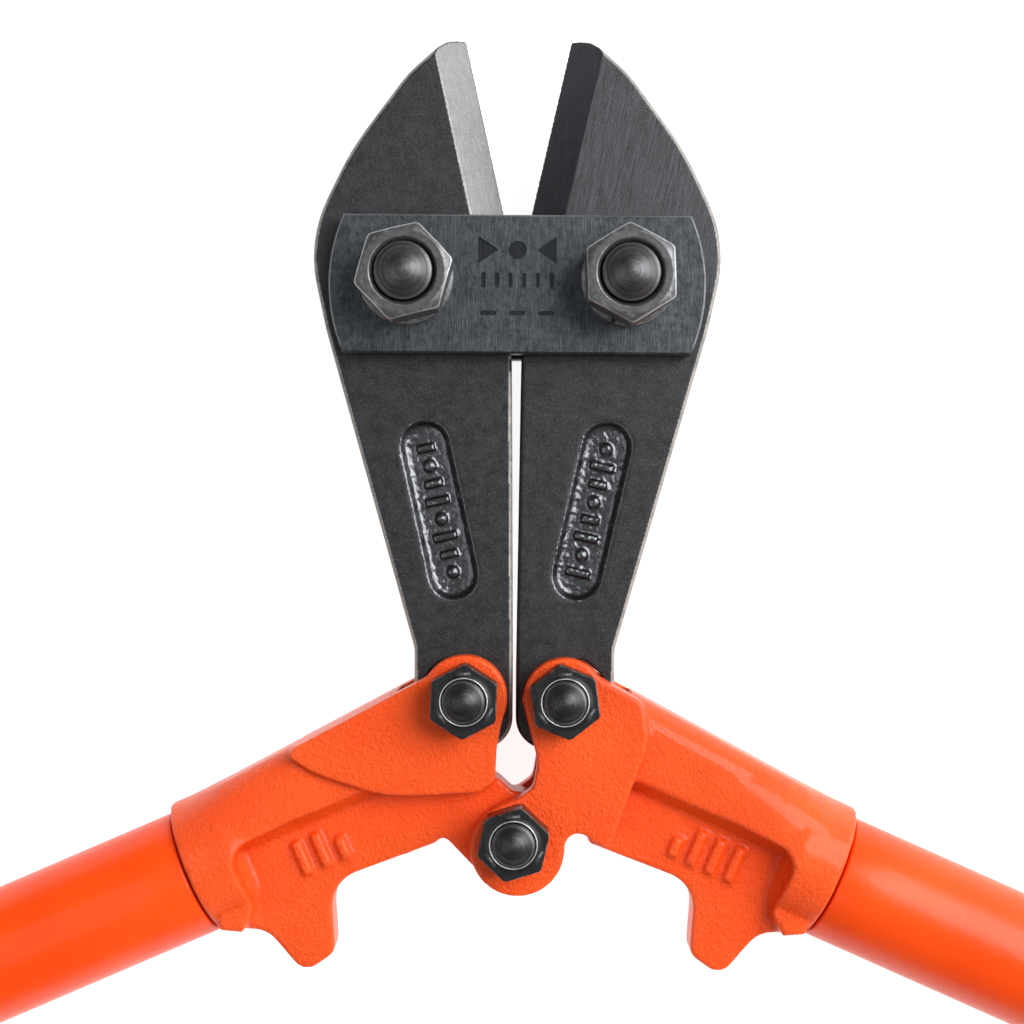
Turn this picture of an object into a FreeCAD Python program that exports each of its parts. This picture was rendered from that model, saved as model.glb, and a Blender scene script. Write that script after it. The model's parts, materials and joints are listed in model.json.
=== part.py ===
"""Bolt cutters, 600 mm (24 in) size, lying flat with the handles spread open.

Frame: +Z up through the tool's thickness, +Y towards the jaw tips, +X to the right.
The origin is under the middle of the tool's outline, on the surface that it lies on.
The head (two link plates on two jaw bolts) carries both jaws. Each jaw's tail sits in a
fork of a forged handle end, and the two handle ends turn on the centre bolt. Each handle
end carries a steel tube with a rubber grip.
"""

import FreeCAD
import Part
import Sketcher
import math
import os
from FreeCAD import Placement, Rotation, Vector

# Driving dimensions in millimetres and degrees: alias, value, what it is.
DIMENSIONS = [
    ("origin_drop", 19.5, "height of the jaws' middle plane over the bench"),
    ("origin_shift", 124.51, "distance from the jaw pivots' line back to the origin"),
    ("pivot_half_span", 24.4, "jaw pivots to the centreline"),
    ("tail_half_span", 11.0, "tail pivots to the centreline"),
    ("tail_drop", 92.5, "jaw pivots' line to tail pivots' line"),
    ("centre_drop", 30.8, "tail pivots' line to the centre bolt"),
    ("jaw_thickness", 12.0, "forged jaw, face to face"),
    ("edge_angle", 12.65, "cutting edge from the centreline, jaws open"),
    ("edge_reach", 24.25, "jaw pivot to the cutting edge's line"),
    ("bevel_width", 7.5, "ground bevel, edge to face"),
    ("jaw_edge_break", 0.7, "draft and edge break round a jaw face"),
    ("panel_radius", 4.5, "forged panel's end radius at its floor"),
    ("panel_depth", 2.0, "forged panel's depth"),
    ("panel_draft", 28.0, "slope of the panel's walls"),
    ("plate_thickness", 5.5, "link plate"),
    ("plate_half_height", 15.3, "link plate, middle to edge"),
    ("plate_half_width", 41.6, "link plate, middle to side"),
    ("plate_side_radius", 38.0, "link plate's rounded side"),
    ("plate_break", 0.45, "link plate's edge chamfer"),
    ("stamp_depth", 0.35, "stamped marks"),
    ("side_gap", 0.1, "face clearance between pieces that turn"),
    ("jaw_bolt_radius", 6.35, "1/2 in jaw bolt"),
    ("jaw_nut_flats", 19.05, "1/2 in nut across flats"),
    ("jaw_nut_height", 11.1, "1/2 in nut"),
    ("jaw_head_height", 7.9, "1/2 in bolt head"),
    ("jaw_washer_radius", 10.5, "1/2 in spring washer"),
    ("jaw_washer_height", 3.0, "1/2 in spring washer"),
    ("pin_radius", 4.76, "3/8 in pivot bolt"),
    ("pin_nut_flats", 14.29, "3/8 in nut across flats"),
    ("pin_nut_height", 8.3, "3/8 in nut"),
    ("pin_head_height", 6.2, "3/8 in bolt head"),
    ("pin_clearance", 0.05, "radial clearance of a turning fit"),
    ("tail_slot_reach", 4.5, "length of the slot in a jaw's tail"),
    ("tail_slot_radius", 5.4, "half width of the slot in a jaw's tail"),
    ("cheek_half", 12.5, "fork cheeks, middle plane to face"),
    ("web_half", 5.9, "handle end's web and tongue, middle plane to face"),
    ("collar_radius", 15.15, "handle end's collar at the tube"),
    ("collar_rise", 0.95, "collar's centre above the tube's axis"),
    ("collar_length", 10.0, "handle end's collar"),
    ("rib_half", 10.6, "handle end's rib, middle plane to face"),
    ("rib_round", 6.0, "handle end's rounded back"),
    ("tube_angle", 23.6, "tube below the horizontal, handles open"),
    ("tube_radius", 14.15, "handle tube, outside"),
    ("tube_bore", 12.15, "handle tube, inside radius"),
    ("tube_length", 384.0, "handle tube"),
    ("spigot_length", 48.0, "handle end's spigot inside the tube"),
    ("grip_length", 142.0, "rubber grip"),
    ("grip_radius", 17.2, "rubber grip's body"),
    ("grip_flange", 19.5, "rubber grip's guard"),
    ("grip_end", 6.0, "rubber grip's closed end"),
]

doc = FreeCAD.newDocument("bolt_cutters")
sheet = doc.addObject("Spreadsheet::Sheet", "dims")
for row, (alias, number, meaning) in enumerate(DIMENSIONS, start=1):
    sheet.set(f"A{row}", alias)
    sheet.set(f"B{row}", str(number))
    sheet.set(f"C{row}", meaning)
    sheet.setAlias(f"B{row}", alias)
doc.recompute()

SIZE = {alias: number for alias, number, meaning in DIMENSIONS}
THROUGH = 80.0  # longer than any hole or pocket that goes right through
ROOT_HALF = math.sqrt(0.75)  # a hexagon's flat-to-centre over its corner-to-centre


class Driven(float):
    """A number that also knows the spreadsheet expression it comes from."""

    def __new__(cls, value, text):
        made = super().__new__(cls, value)
        made.text = text
        return made


def cell(alias, times=1.0, plus=0.0):
    """A spreadsheet cell, scaled and shifted, as a number that sketches can bind to."""
    return Driven(SIZE[alias] * times + plus, f"dims.{alias} * {times} + {plus}")


# ---------------------------------------------------------------- document helpers


def new_body(label, place=(), angle=0.0):
    """A PartDesign body, turned about Z, at a place given as three expressions if any."""
    body = doc.addObject("PartDesign::Body", label)
    body.Label = label
    body.Placement = Placement(Vector(), Rotation(Vector(0, 0, 1), angle))
    for axis, text in zip("xyz", place):
        body.setExpression(f"Placement.Base.{axis}", text)
    return body


def new_sketch(body, name, base=(0, 0, 0), axes=None):
    """A sketch on the body's XY plane, moved to base and turned to axes (x, z) if given."""
    made = body.newObject("Sketcher::SketchObject", name)
    plane = next(f for f in body.Origin.OriginFeatures if f.Role == "XY_Plane")
    made.AttachmentSupport = [(plane, "")]
    made.MapMode = "FlatFace"
    turn = Rotation()
    if axes:
        x_axis, z_axis = axes
        turn = Rotation(x_axis, z_axis.cross(x_axis), z_axis, "ZXY")
    made.AttachmentOffset = Placement(Vector(*base), turn)
    return made


def constrain(sketch, value, *words):
    """Adds one dimension, bound to its spreadsheet cell when it has one."""
    index = sketch.addConstraint(Sketcher.Constraint(*words, float(value)))
    if isinstance(value, Driven):
        name = f"size_{index}"
        sketch.renameConstraint(index, name)
        sketch.setExpression(f"Constraints.{name}", value.text)
    return index


def pin_point(sketch, geometry, point, x, y):
    constrain(sketch, x, "DistanceX", geometry, point)
    constrain(sketch, y, "DistanceY", geometry, point)


def add_circle(sketch, x, y, radius):
    shape = Part.Circle(Vector(x, y, 0), Vector(0, 0, 1), float(radius))
    index = sketch.addGeometry(shape, False)
    pin_point(sketch, index, 3, x, y)
    constrain(sketch, radius, "Radius", index)


def corner_arc(before, at, after, radius):
    """Where a corner's round starts and ends, its centre, and whether it turns left."""
    at = Vector(at[0], at[1], 0)
    to_before = (Vector(before[0], before[1], 0) - at).normalize()
    to_after = (Vector(after[0], after[1], 0) - at).normalize()
    half = to_before.getAngle(to_after) / 2
    reach = radius / math.tan(half)
    middle = (to_before + to_after).normalize()
    centre = at + middle * (radius / math.sin(half))
    turns_left = to_before.cross(to_after).z < 0
    return at + to_before * reach, at + to_after * reach, centre, turns_left


def add_outline(sketch, corners):
    """A closed outline from corners (x, y, round), with tangent rounds, fully dimensioned."""
    count = len(corners)
    starts, ends, arcs = [], [], []
    for i, (x, y, radius) in enumerate(corners):
        if radius:
            beyond = corners[(i + 1) % count]
            start, end, centre, left = corner_arc(corners[i - 1], corners[i], beyond, radius)
            first, last = (start, end) if left else (end, start)
            circle = Part.Circle(centre, Vector(0, 0, 1), float(radius))
            low = math.atan2(first.y - centre.y, first.x - centre.x)
            high = math.atan2(last.y - centre.y, last.x - centre.x)
            index = sketch.addGeometry(Part.ArcOfCircle(circle, low, high), False)
            arcs.append((index, 1 if left else 2, 2 if left else 1, centre))
        else:
            start = end = Vector(x, y, 0)
            arcs.append(None)
        starts.append(start)
        ends.append(end)
    lines = []
    for i in range(count):
        line = Part.LineSegment(ends[i], starts[(i + 1) % count])
        lines.append(sketch.addGeometry(line, False))
    for i, (x, y, radius) in enumerate(corners):
        before, after = lines[i - 1], lines[i]
        if arcs[i]:
            index, arc_in, arc_out, centre = arcs[i]
            sketch.addConstraint(Sketcher.Constraint("Tangent", before, 2, index, arc_in))
            sketch.addConstraint(Sketcher.Constraint("Tangent", after, 1, index, arc_out))
            pin_point(sketch, index, 3, centre.x, centre.y)
            constrain(sketch, radius, "Radius", index)
        else:
            sketch.addConstraint(Sketcher.Constraint("Coincident", before, 2, after, 1))
            pin_point(sketch, after, 1, x, y)


def add_arc(sketch, centre, radius, low, high):
    """A pinned arc, counter-clockwise between two angles in radians."""
    circle = Part.Circle(Vector(centre[0], centre[1], 0), Vector(0, 0, 1), float(radius))
    index = sketch.addGeometry(Part.ArcOfCircle(circle, low, high), False)
    pin_point(sketch, index, 3, centre[0], centre[1])
    constrain(sketch, radius, "Radius", index)
    return index


def close_arcs(sketch, first, second, extra):
    """Joins two arcs, end to start, with lines. The extra constraint is 'Tangent' or None."""
    for here, there in ((first, second), (second, first)):
        start, end = sketch.Geometry[here].EndPoint, sketch.Geometry[there].StartPoint
        line = sketch.addGeometry(Part.LineSegment(start, end), False)
        for arc, arc_point, line_point in ((here, 2, 1), (there, 1, 2)):
            sketch.addConstraint(Sketcher.Constraint(extra or "Coincident", line, line_point, arc, arc_point))
        if not extra:
            sketch.addConstraint(Sketcher.Constraint("Horizontal", line))
            constrain(sketch, start.y, "DistanceY", line, 1)


def add_slot(sketch, start, end, radius):
    """A round-ended slot between two centres."""
    lean = math.atan2(end[1] - start[1], end[0] - start[0])
    quarter = math.pi / 2
    far = add_arc(sketch, end, radius, lean - quarter, lean + quarter)
    near = add_arc(sketch, start, radius, lean + quarter, lean + 3 * quarter)
    close_arcs(sketch, far, near, "Tangent")


def hexagon_corners(flats, angle):
    reach = flats / 2 / ROOT_HALF
    turns = [math.radians(angle + 60 * k) for k in range(6)]
    return [(reach * math.cos(t), reach * math.sin(t), 0) for t in turns]


def settle(made):
    """Recomputes and stops at once if a feature failed."""
    doc.recompute()
    if not made.isValid():
        raise RuntimeError(f"{made.Name} failed")
    return made


def pad(body, sketch, length, midplane=False, reverse=False):
    made = body.newObject("PartDesign::Pad", sketch.Name + "_pad")
    made.Profile = sketch
    made.Midplane = midplane
    made.Reversed = reverse
    made.setExpression("Length", length)
    return settle(made)


def pocket(body, sketch, length=None, midplane=False, reverse=False, taper=None):
    """Cuts a sketch away. With no length it goes right through, both ways."""
    before = body.Shape.Volume
    made = body.newObject("PartDesign::Pocket", sketch.Name + "_pocket")
    made.Profile = sketch
    made.Midplane = midplane or length is None
    made.Reversed = reverse
    if length is None:
        made.Length = THROUGH
    else:
        made.setExpression("Length", length)
    if taper:
        made.setExpression("TaperAngle", taper)
    settle(made)
    if body.Shape.Volume > before - 0.01:
        raise RuntimeError(f"{made.Name} cuts nothing")
    return made


def chamfer(body, feature, edges, size):
    made = body.newObject("PartDesign::Chamfer", feature.Name + "_chamfer")
    made.Base = (feature, edges)
    made.setExpression("Size", size)
    return settle(made)


def fillet(body, feature, edges, radius):
    made = body.newObject("PartDesign::Fillet", feature.Name + "_fillet")
    made.Base = (feature, edges)
    made.setExpression("Radius", radius)
    return settle(made)


def edges_at(shape, heights, min_length=0.0):
    """Names of the edges, of some length, that lie wholly at one of these Z heights."""
    names = []
    for index, edge in enumerate(shape.Edges, start=1):
        box = edge.BoundBox
        flat = any(abs(box.ZMin - h) < 1e-4 and abs(box.ZMax - h) < 1e-4 for h in heights)
        if flat and edge.Length > min_length:
            names.append(f"Edge{index}")
    return names


PARTS = []  # the sub-parts that are written, in order


def keep(body):
    PARTS.append(body)
    return body


# ---------------------------------------------------------------- places, as expressions

LEVEL = "dims.origin_drop"
HEAD_Y = "dims.origin_shift"
TAIL_Y = "dims.origin_shift - dims.tail_drop"
CENTRE_Y = "dims.origin_shift - dims.tail_drop - dims.centre_drop"


def at_x(side, alias):
    return f"{side} * dims.{alias}"


# ---------------------------------------------------------------- jaws

EDGE_TIP = 55.9  # cutting edge's top end, from the foot of the perpendicular off the jaw pivot
EDGE_FOOT = 2.6  # its lower end, under the plates


def edge_point(along, across=0.0):
    """A point by the right jaw's cutting edge, in the jaw's frame (origin at its pivot)."""
    lean = math.radians(SIZE["edge_angle"])
    up, inward = Vector(math.sin(lean), math.cos(lean), 0), Vector(-math.cos(lean), math.sin(lean), 0)
    return inward * (SIZE["edge_reach"] - across) + up * along


def jaw_outline(side):
    """The jaw from its tip round the back, down to the tail and up the inner side."""
    span = SIZE["pivot_half_span"]
    tip, foot = edge_point(EDGE_TIP - 5.1), edge_point(EDGE_FOOT + 5.0)
    tail_x = SIZE["tail_half_span"] - span
    tail_y = -SIZE["tail_drop"]
    corners = [
        (tip.x, tip.y, 0),
        (-8.4, 54.3, 6.0),
        (0.4, 46.5, 30.0),
        (12.9, 29.4, 60.0),
        (22.6, 9.0, 30.0),
        (18.2, -11.0, 40.0),
        (-2.05, -82.0, 8.0),
        (tail_x + 11.3, tail_y - 9.0, 8.0),
        (tail_x + 2.5, tail_y - 15.0, 6.0),
        (tail_x - 10.65, tail_y - 9.5, 7.0),
        (tail_x - 10.65, tail_y + 6.0, 0),
        (0.95 - span, -26.0, 0),
        (1.35 - span, 1.0, 0),
        (foot.x, foot.y, 0),
    ]
    return [(side * x, y, radius) for x, y, radius in corners]


def cut_bevel(body, side, face):
    """Grinds the bevel on the front (face 1) or rear (face -1) of a jaw's blade."""
    middle = edge_point((EDGE_TIP + EDGE_FOOT) / 2)
    along = edge_point(1.0) - edge_point(0.0)
    across = edge_point(0.0, 1.0) - edge_point(0.0)
    base = Vector(side * middle.x, middle.y, 0)
    x_axis = Vector(side * across.x, across.y, 0)
    z_axis = Vector(side * along.x, along.y, 0)
    name = f"{body.Name}_bevel_{'front' if face > 0 else 'rear'}"
    sketch = new_sketch(body, name, (base.x, base.y, 0), (x_axis, z_axis))
    up = face if z_axis.cross(x_axis).z > 0 else -face
    half, wide = SIZE["jaw_thickness"] / 2, SIZE["bevel_width"]
    beyond = 4.0
    add_outline(sketch, [
        (0.0, 0.0, 0),
        (wide * (half + beyond) / half, up * (half + beyond), 0),
        (-beyond, up * (half + beyond), 0),
        (-beyond, 0.0, 0),
    ])
    cut = pocket(body, sketch, f"{EDGE_TIP - EDGE_FOOT + 20.0}", midplane=True)
    return cut


PANEL_TOP = (-4.1, -36.7)  # forged panel's two end centres, from the right jaw's pivot
PANEL_END = (-10.6, -65.5)


def cut_panel(body, side, face):
    """Presses the round-ended panel into one face."""
    half = SIZE["jaw_thickness"] / 2
    where = "front" if face > 0 else "rear"
    name = f"{body.Name}_panel_{where}"
    floor = face * (half - SIZE["panel_depth"])
    sketch = new_sketch(body, name, (0, 0, floor))
    ends = [(side * x, y) for x, y in (PANEL_TOP, PANEL_END)]
    add_slot(sketch, *ends, cell("panel_radius"))
    pocket(body, sketch, "dims.panel_depth + 0.2", reverse=face > 0, taper="dims.panel_draft")


def make_jaw(label, side):
    body = keep(new_body(label, (at_x(side, "pivot_half_span"), HEAD_Y, LEVEL)))
    outline = new_sketch(body, label + "_outline")
    add_outline(outline, jaw_outline(side))
    blank = pad(body, outline, "dims.jaw_thickness", midplane=True)
    half = SIZE["jaw_thickness"] / 2
    chamfer(body, blank, edges_at(blank.Shape, (half, -half)), "dims.jaw_edge_break")
    for face in (1, -1):
        cut_bevel(body, side, face)
        cut_panel(body, side, face)
    bore = new_sketch(body, label + "_bore")
    add_circle(bore, 0.0, 0.0, cell("jaw_bolt_radius", 1.0, SIZE["pin_clearance"]))
    pocket(body, bore)
    tail = new_sketch(body, label + "_tail_slot")
    tail_x = side * (SIZE["tail_half_span"] - SIZE["pivot_half_span"])
    tail_y = -SIZE["tail_drop"]
    reach = SIZE["tail_slot_reach"]
    lean = math.radians(SLOT_LEAN)
    far = (tail_x + side * reach * math.sin(lean), tail_y + reach * math.cos(lean))
    add_slot(tail, (tail_x, tail_y), far, cell("tail_slot_radius"))
    pocket(body, tail)
    return body


SLOT_LEAN = 50.0  # the tail slot's direction, outwards from straight up

jaw_left = make_jaw("jaw_left", -1)
jaw_right = make_jaw("jaw_right", 1)

# ---------------------------------------------------------------- link plates

PLATE_MIDDLE = -1.2  # plate's middle, from the jaw pivots' line


def add_plate_outline(sketch):
    """Straight top and bottom, bulged sides."""
    bulge, half_width = SIZE["plate_side_radius"], SIZE["plate_half_width"]
    reach = math.asin(SIZE["plate_half_height"] / bulge)
    right = add_arc(sketch, (half_width - bulge, PLATE_MIDDLE), bulge, -reach, reach)
    left = add_arc(sketch, (bulge - half_width, PLATE_MIDDLE), bulge, math.pi - reach, math.pi + reach)
    close_arcs(sketch, right, left, None)


def make_plate(label, face, stamped):
    level = f"{LEVEL} + {face} * (dims.jaw_thickness / 2 + dims.side_gap + dims.plate_thickness / 2)"
    body = keep(new_body(label, ("0", HEAD_Y, level)))
    outline = new_sketch(body, label + "_outline")
    add_plate_outline(outline)
    blank = pad(body, outline, "dims.plate_thickness", midplane=True)
    half = SIZE["plate_thickness"] / 2
    chamfer(body, blank, edges_at(blank.Shape, (half, -half)), "dims.plate_break")
    holes = new_sketch(body, label + "_holes")
    for side in (-1, 1):
        bore = cell("jaw_bolt_radius", 1.0, SIZE["pin_clearance"])
        add_circle(holes, cell("pivot_half_span", side), 0.0, bore)
    pocket(body, holes)
    if stamped:
        marks = new_sketch(body, label + "_marks", (0, 0, half))
        add_circle(marks, 0.0, 6.3, 2.0)
        for s in (-1, 1):
            add_outline(marks, [(s * 4.2, 6.3, 0), (s * 8.6, 9.3, 0), (s * 8.6, 3.3, 0)])
        for x in (-7.5, -4.5, -1.5, 1.5, 4.5, 7.5):
            add_slot(marks, (x, -1.6), (x, 0.9), 0.45)
        for x in (-6.4, 0.0, 6.4):
            add_slot(marks, (x - 1.3, -7.6), (x + 1.3, -7.6), 0.5)
        pocket(body, marks, "dims.stamp_depth")
    return body


link_plate_front = make_plate("link_plate_front", 1, True)
link_plate_rear = make_plate("link_plate_rear", -1, False)

# ---------------------------------------------------------------- bolts, nuts and washers


UPRIGHT = (Vector(1, 0, 0), Vector(0, -1, 0))  # a sketch standing in the XZ plane


def revolve(body, name, profile):
    """Turns a closed (radius, height) outline about the body's Z axis."""
    sketch = new_sketch(body, name, (0, 0, 0), UPRIGHT)
    add_outline(sketch, profile)
    made = body.newObject("PartDesign::Revolution", name + "_turn")
    made.Profile = sketch
    made.ReferenceAxis = (sketch, ["V_Axis"])
    made.Angle = 360.0
    return settle(made)


def trim_corners(body, name, flats, low, high, both):
    """Cuts the 30 degree chamfer off a hexagon's corners, at its top or at both ends."""
    rim = flats / 2 * 0.97
    outside = flats / 2 / ROOT_HALF + 2
    rise = (outside - rim) * math.tan(math.radians(30))
    ends = [(high, -1)] + ([(low, 1)] if both else [])
    for level, inward in ends:
        sketch = new_sketch(body, f"{name}_{'top' if inward < 0 else 'foot'}", (0, 0, 0), UPRIGHT)
        add_outline(sketch, [
            (rim, level, 0),
            (outside, level + inward * rise, 0),
            (outside, level - inward * 1.0, 0),
            (rim, level - inward * 1.0, 0),
        ])
        made = body.newObject("PartDesign::Groove", sketch.Name + "_groove")
        made.Profile = sketch
        made.ReferenceAxis = (sketch, ["V_Axis"])
        made.Angle = 360.0
        settle(made)


def make_bolt(label, place, radius, flats, head, length, crown, angle):
    """A hex bolt. Z 0 is under its head, and its domed thread end stands at +length."""
    body = keep(new_body(label, place, angle))
    hexagon = new_sketch(body, label + "_head")
    add_outline(hexagon, hexagon_corners(SIZE[flats], 0.0))
    pad(body, hexagon, f"dims.{head}", reverse=True)
    trim_corners(body, label + "_trim", SIZE[flats], -SIZE[head], -SIZE[head], False)
    r = SIZE[radius]
    rim = 0.5
    revolve(body, label + "_shank", [
        (0.0, -1.0, 0),
        (r, -1.0, 0),
        (r, length - rim, 0),
        (r - rim, length, 0),
        (r * 0.55, length + crown * 0.72, 3.0),
        (0.0, length + crown, 0),
    ])
    return body


def make_nut(label, place, flats, height, bore, angle, both_chamfers, staked):
    """A hex nut from Z 0 up, with a countersunk bore."""
    body = keep(new_body(label, place, angle))
    hexagon = new_sketch(body, label + "_hexagon")
    add_outline(hexagon, hexagon_corners(SIZE[flats], 0.0))
    pad(body, hexagon, f"dims.{height}")
    if both_chamfers:
        trim_corners(body, label + "_trim", SIZE[flats], 0.0, SIZE[height], True)
    hole = new_sketch(body, label + "_bore")
    add_circle(hole, 0.0, 0.0, cell(bore, 1.0, SIZE["pin_clearance"]))
    pocket(body, hole)
    sink = new_sketch(body, label + "_sink", (0, 0, 0), UPRIGHT)
    top, r = SIZE[height], SIZE[bore] + SIZE["pin_clearance"]
    cone = [(0.0, top - 1.2), (r - 0.2, top - 1.2), (r + 0.75, top + 0.2), (0.0, top + 0.2)]
    add_outline(sink, [(out, up, 0) for out, up in cone])
    groove = body.newObject("PartDesign::Groove", label + "_sink_groove")
    groove.Profile = sink
    groove.ReferenceAxis = (sink, ["V_Axis"])
    groove.Angle = 360.0
    settle(groove)
    if staked:
        mark = new_sketch(body, label + "_stake", (0, 0, top))
        for turn in (30.0, 150.0, 270.0):
            a = math.radians(turn)
            out, side = Vector(math.cos(a), math.sin(a), 0), Vector(-math.sin(a), math.cos(a), 0)
            box = [(6.0, -1.7), (6.75, -1.7), (6.75, 1.7), (6.0, 1.7)]
            add_outline(mark, [((out * u + side * v).x, (out * u + side * v).y, 0) for u, v in box])
        pocket(body, mark, "dims.stamp_depth")
    return body


def make_washer(label, place, angle):
    """A split spring washer from Z 0 up."""
    body = keep(new_body(label, place, angle))
    ring = new_sketch(body, label + "_ring")
    add_circle(ring, 0.0, 0.0, cell("jaw_washer_radius"))
    add_circle(ring, 0.0, 0.0, cell("jaw_bolt_radius", 1.0, 0.15))
    pad(body, ring, "dims.jaw_washer_height")
    split = new_sketch(body, label + "_split")
    add_outline(split, [(5.0, -0.9, 0), (12.0, 0.5, 0), (12.0, 1.9, 0), (5.0, 0.5, 0)])
    pocket(body, split)
    return body


FRONT_PLATE_FACE = f"{LEVEL} + dims.jaw_thickness / 2 + dims.side_gap + dims.plate_thickness"
REAR_PLATE_FACE = f"{LEVEL} - dims.jaw_thickness / 2 - dims.side_gap - dims.plate_thickness"
FRONT_CHEEK = f"{LEVEL} + dims.cheek_half"
REAR_CHEEK = f"{LEVEL} - dims.cheek_half"
JAW_GRIP = SIZE["jaw_thickness"] + 2 * (SIZE["side_gap"] + SIZE["plate_thickness"])
JAW_BOLT_REACH = JAW_GRIP + SIZE["jaw_washer_height"] + SIZE["jaw_nut_height"] + 0.6
PIN_REACH = 2 * SIZE["cheek_half"] + SIZE["pin_nut_height"] + 0.8

for name, side, nut_turn in (("left", -1, 14.0), ("right", 1, 32.0)):
    across = at_x(side, "pivot_half_span")
    make_bolt(f"jaw_bolt_{name}", (across, HEAD_Y, REAR_PLATE_FACE), "jaw_bolt_radius", "jaw_nut_flats",
              "jaw_head_height", JAW_BOLT_REACH, 2.6, nut_turn + 11.0)
    make_washer(f"jaw_spring_washer_{name}", (across, HEAD_Y, FRONT_PLATE_FACE), 250.0)
    make_nut(f"jaw_nut_{name}", (across, HEAD_Y, FRONT_PLATE_FACE + " + dims.jaw_washer_height"),
             "jaw_nut_flats", "jaw_nut_height", "jaw_bolt_radius", nut_turn, True, False)

PINS = (
    ("tail_bolt_left", "tail_nut_left", at_x(-1, "tail_half_span"), TAIL_Y, 28.0),
    ("tail_bolt_right", "tail_nut_right", at_x(1, "tail_half_span"), TAIL_Y, 38.0),
    ("centre_bolt", "centre_nut", "0", CENTRE_Y, 17.0),
)
for bolt_name, nut_name, across, along, nut_turn in PINS:
    make_bolt(bolt_name, (across, along, REAR_CHEEK), "pin_radius", "pin_nut_flats",
              "pin_head_height", PIN_REACH, 1.9, nut_turn + 21.0)
    make_nut(nut_name, (across, along, FRONT_CHEEK), "pin_nut_flats", "pin_nut_height",
             "pin_radius", nut_turn, False, True)

# ---------------------------------------------------------------- handle ends (forgings)

JOINT_X, JOINT_Y = 70.85, -9.3  # where a tube's axis meets its collar, from the centre bolt
TONGUE_RADIUS = 9.6
TAIL_BOSS = {-1: 9.5, 1: 9.0}
CENTRE_BOSS = 10.4
CENTRE_BOSS_SHIFT = (0.9, -2.3)


def tube_axes(side):
    """Inward along a handle's tube, and square to it towards the jaws."""
    lean = math.radians(SIZE["tube_angle"])
    inward = Vector(-side * math.cos(lean), math.sin(lean), 0)
    upward = Vector(side * math.sin(lean), math.cos(lean), 0)
    return inward, upward


def along_tube(side, inward_by, up_by=0.0):
    inward, upward = tube_axes(side)
    return Vector(side * JOINT_X, JOINT_Y, 0) + inward * inward_by + upward * up_by


# Recessed panel in each face of a handle end: inward along the tube, up from its axis, round.
RECESS = (
    (9.8, 2.6, 5.0), (9.8, -12.0, 4.0), (3.0, -17.5, 0), (3.0, -40.0, 0), (70.0, -40.0, 0), (70.0, 2.6, 0),
)


def web_corners():
    """Web, stop lug and lower edge, for the right side."""
    return [
        (14.8, 38.2, 0),
        (66.0, 10.6, 0),
        (64.9, -21.0, 0),
        (54.6, -22.0, 6.0),
        (46.4, -31.5, 3.6),
        (39.5, -26.6, 3.0),
        (40.7, -10.9, 8.0),
        (16.6, -1.8, 1.5),
    ]


def right_pad_corners():
    """Fork cheeks of the right handle end, over the tail bolt and the centre bolt."""
    return [
        (1.6, 31.0, 0),
        (5.3, 17.0, 6.0),
        (4.3, 11.2, 2.5),
        (1.2, 9.0, 0.8),
        (-3.4, 7.0, 0),
        (-2.0, -8.0, 0),
        (6.6, -9.2, 0),
        (13.4, 2.6, 3.0),
        (20.8, -2.8, 1.5),
        (29.8, 21.5, 14.0),
        (28.4, 30.2, 3.0),
        (14.6, 37.5, 0),
    ]


def left_pad_corners():
    """Fork cheeks of the left handle end, mirrored to the right side."""
    return [
        (1.6, 31.0, 0),
        (3.9, 19.5, 9.0),
        (4.1, 12.4, 1.0),
        (7.6, 10.1, 4.0),
        (28.0, 8.9, 30.0),
        (44.0, 14.0, 20.0),
        (51.0, 18.4, 1.5),
        (14.6, 38.0, 0),
    ]


def tail_slot_corners(fork):
    """Slot between the cheeks. A fork's slot also takes the other handle end's tongue."""
    outer = [(25.8, 46.0, 0), (25.8, 22.0, 3.0), (19.5, 12.8, 3.0)]
    if fork:
        return [(-16.0, 46.0, 0), *outer, (15.6, 8.0, 3.0), (15.6, -16.0, 0), (-16.0, -16.0, 0)]
    return [(-6.0, 46.0, 0), *outer, (-6.0, 12.8, 0)]


def tongue_corners():
    """Neck between the web and the tongue's boss, mirrored to the right side."""
    return [
        (-1.0, 9.5, 0),
        (0.3, 9.5, 0),
        (3.4, 12.5, 2.0),
        (19.0, 12.7, 0),
        (24.0, -4.8, 0),
        (15.4, -0.6, 2.0),
        (8.0, -8.2, 0),
        (-1.0, -8.0, 0),
    ]


def mirrored(side, corners):
    return [(side * x, y, radius) for x, y, radius in corners]


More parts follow.
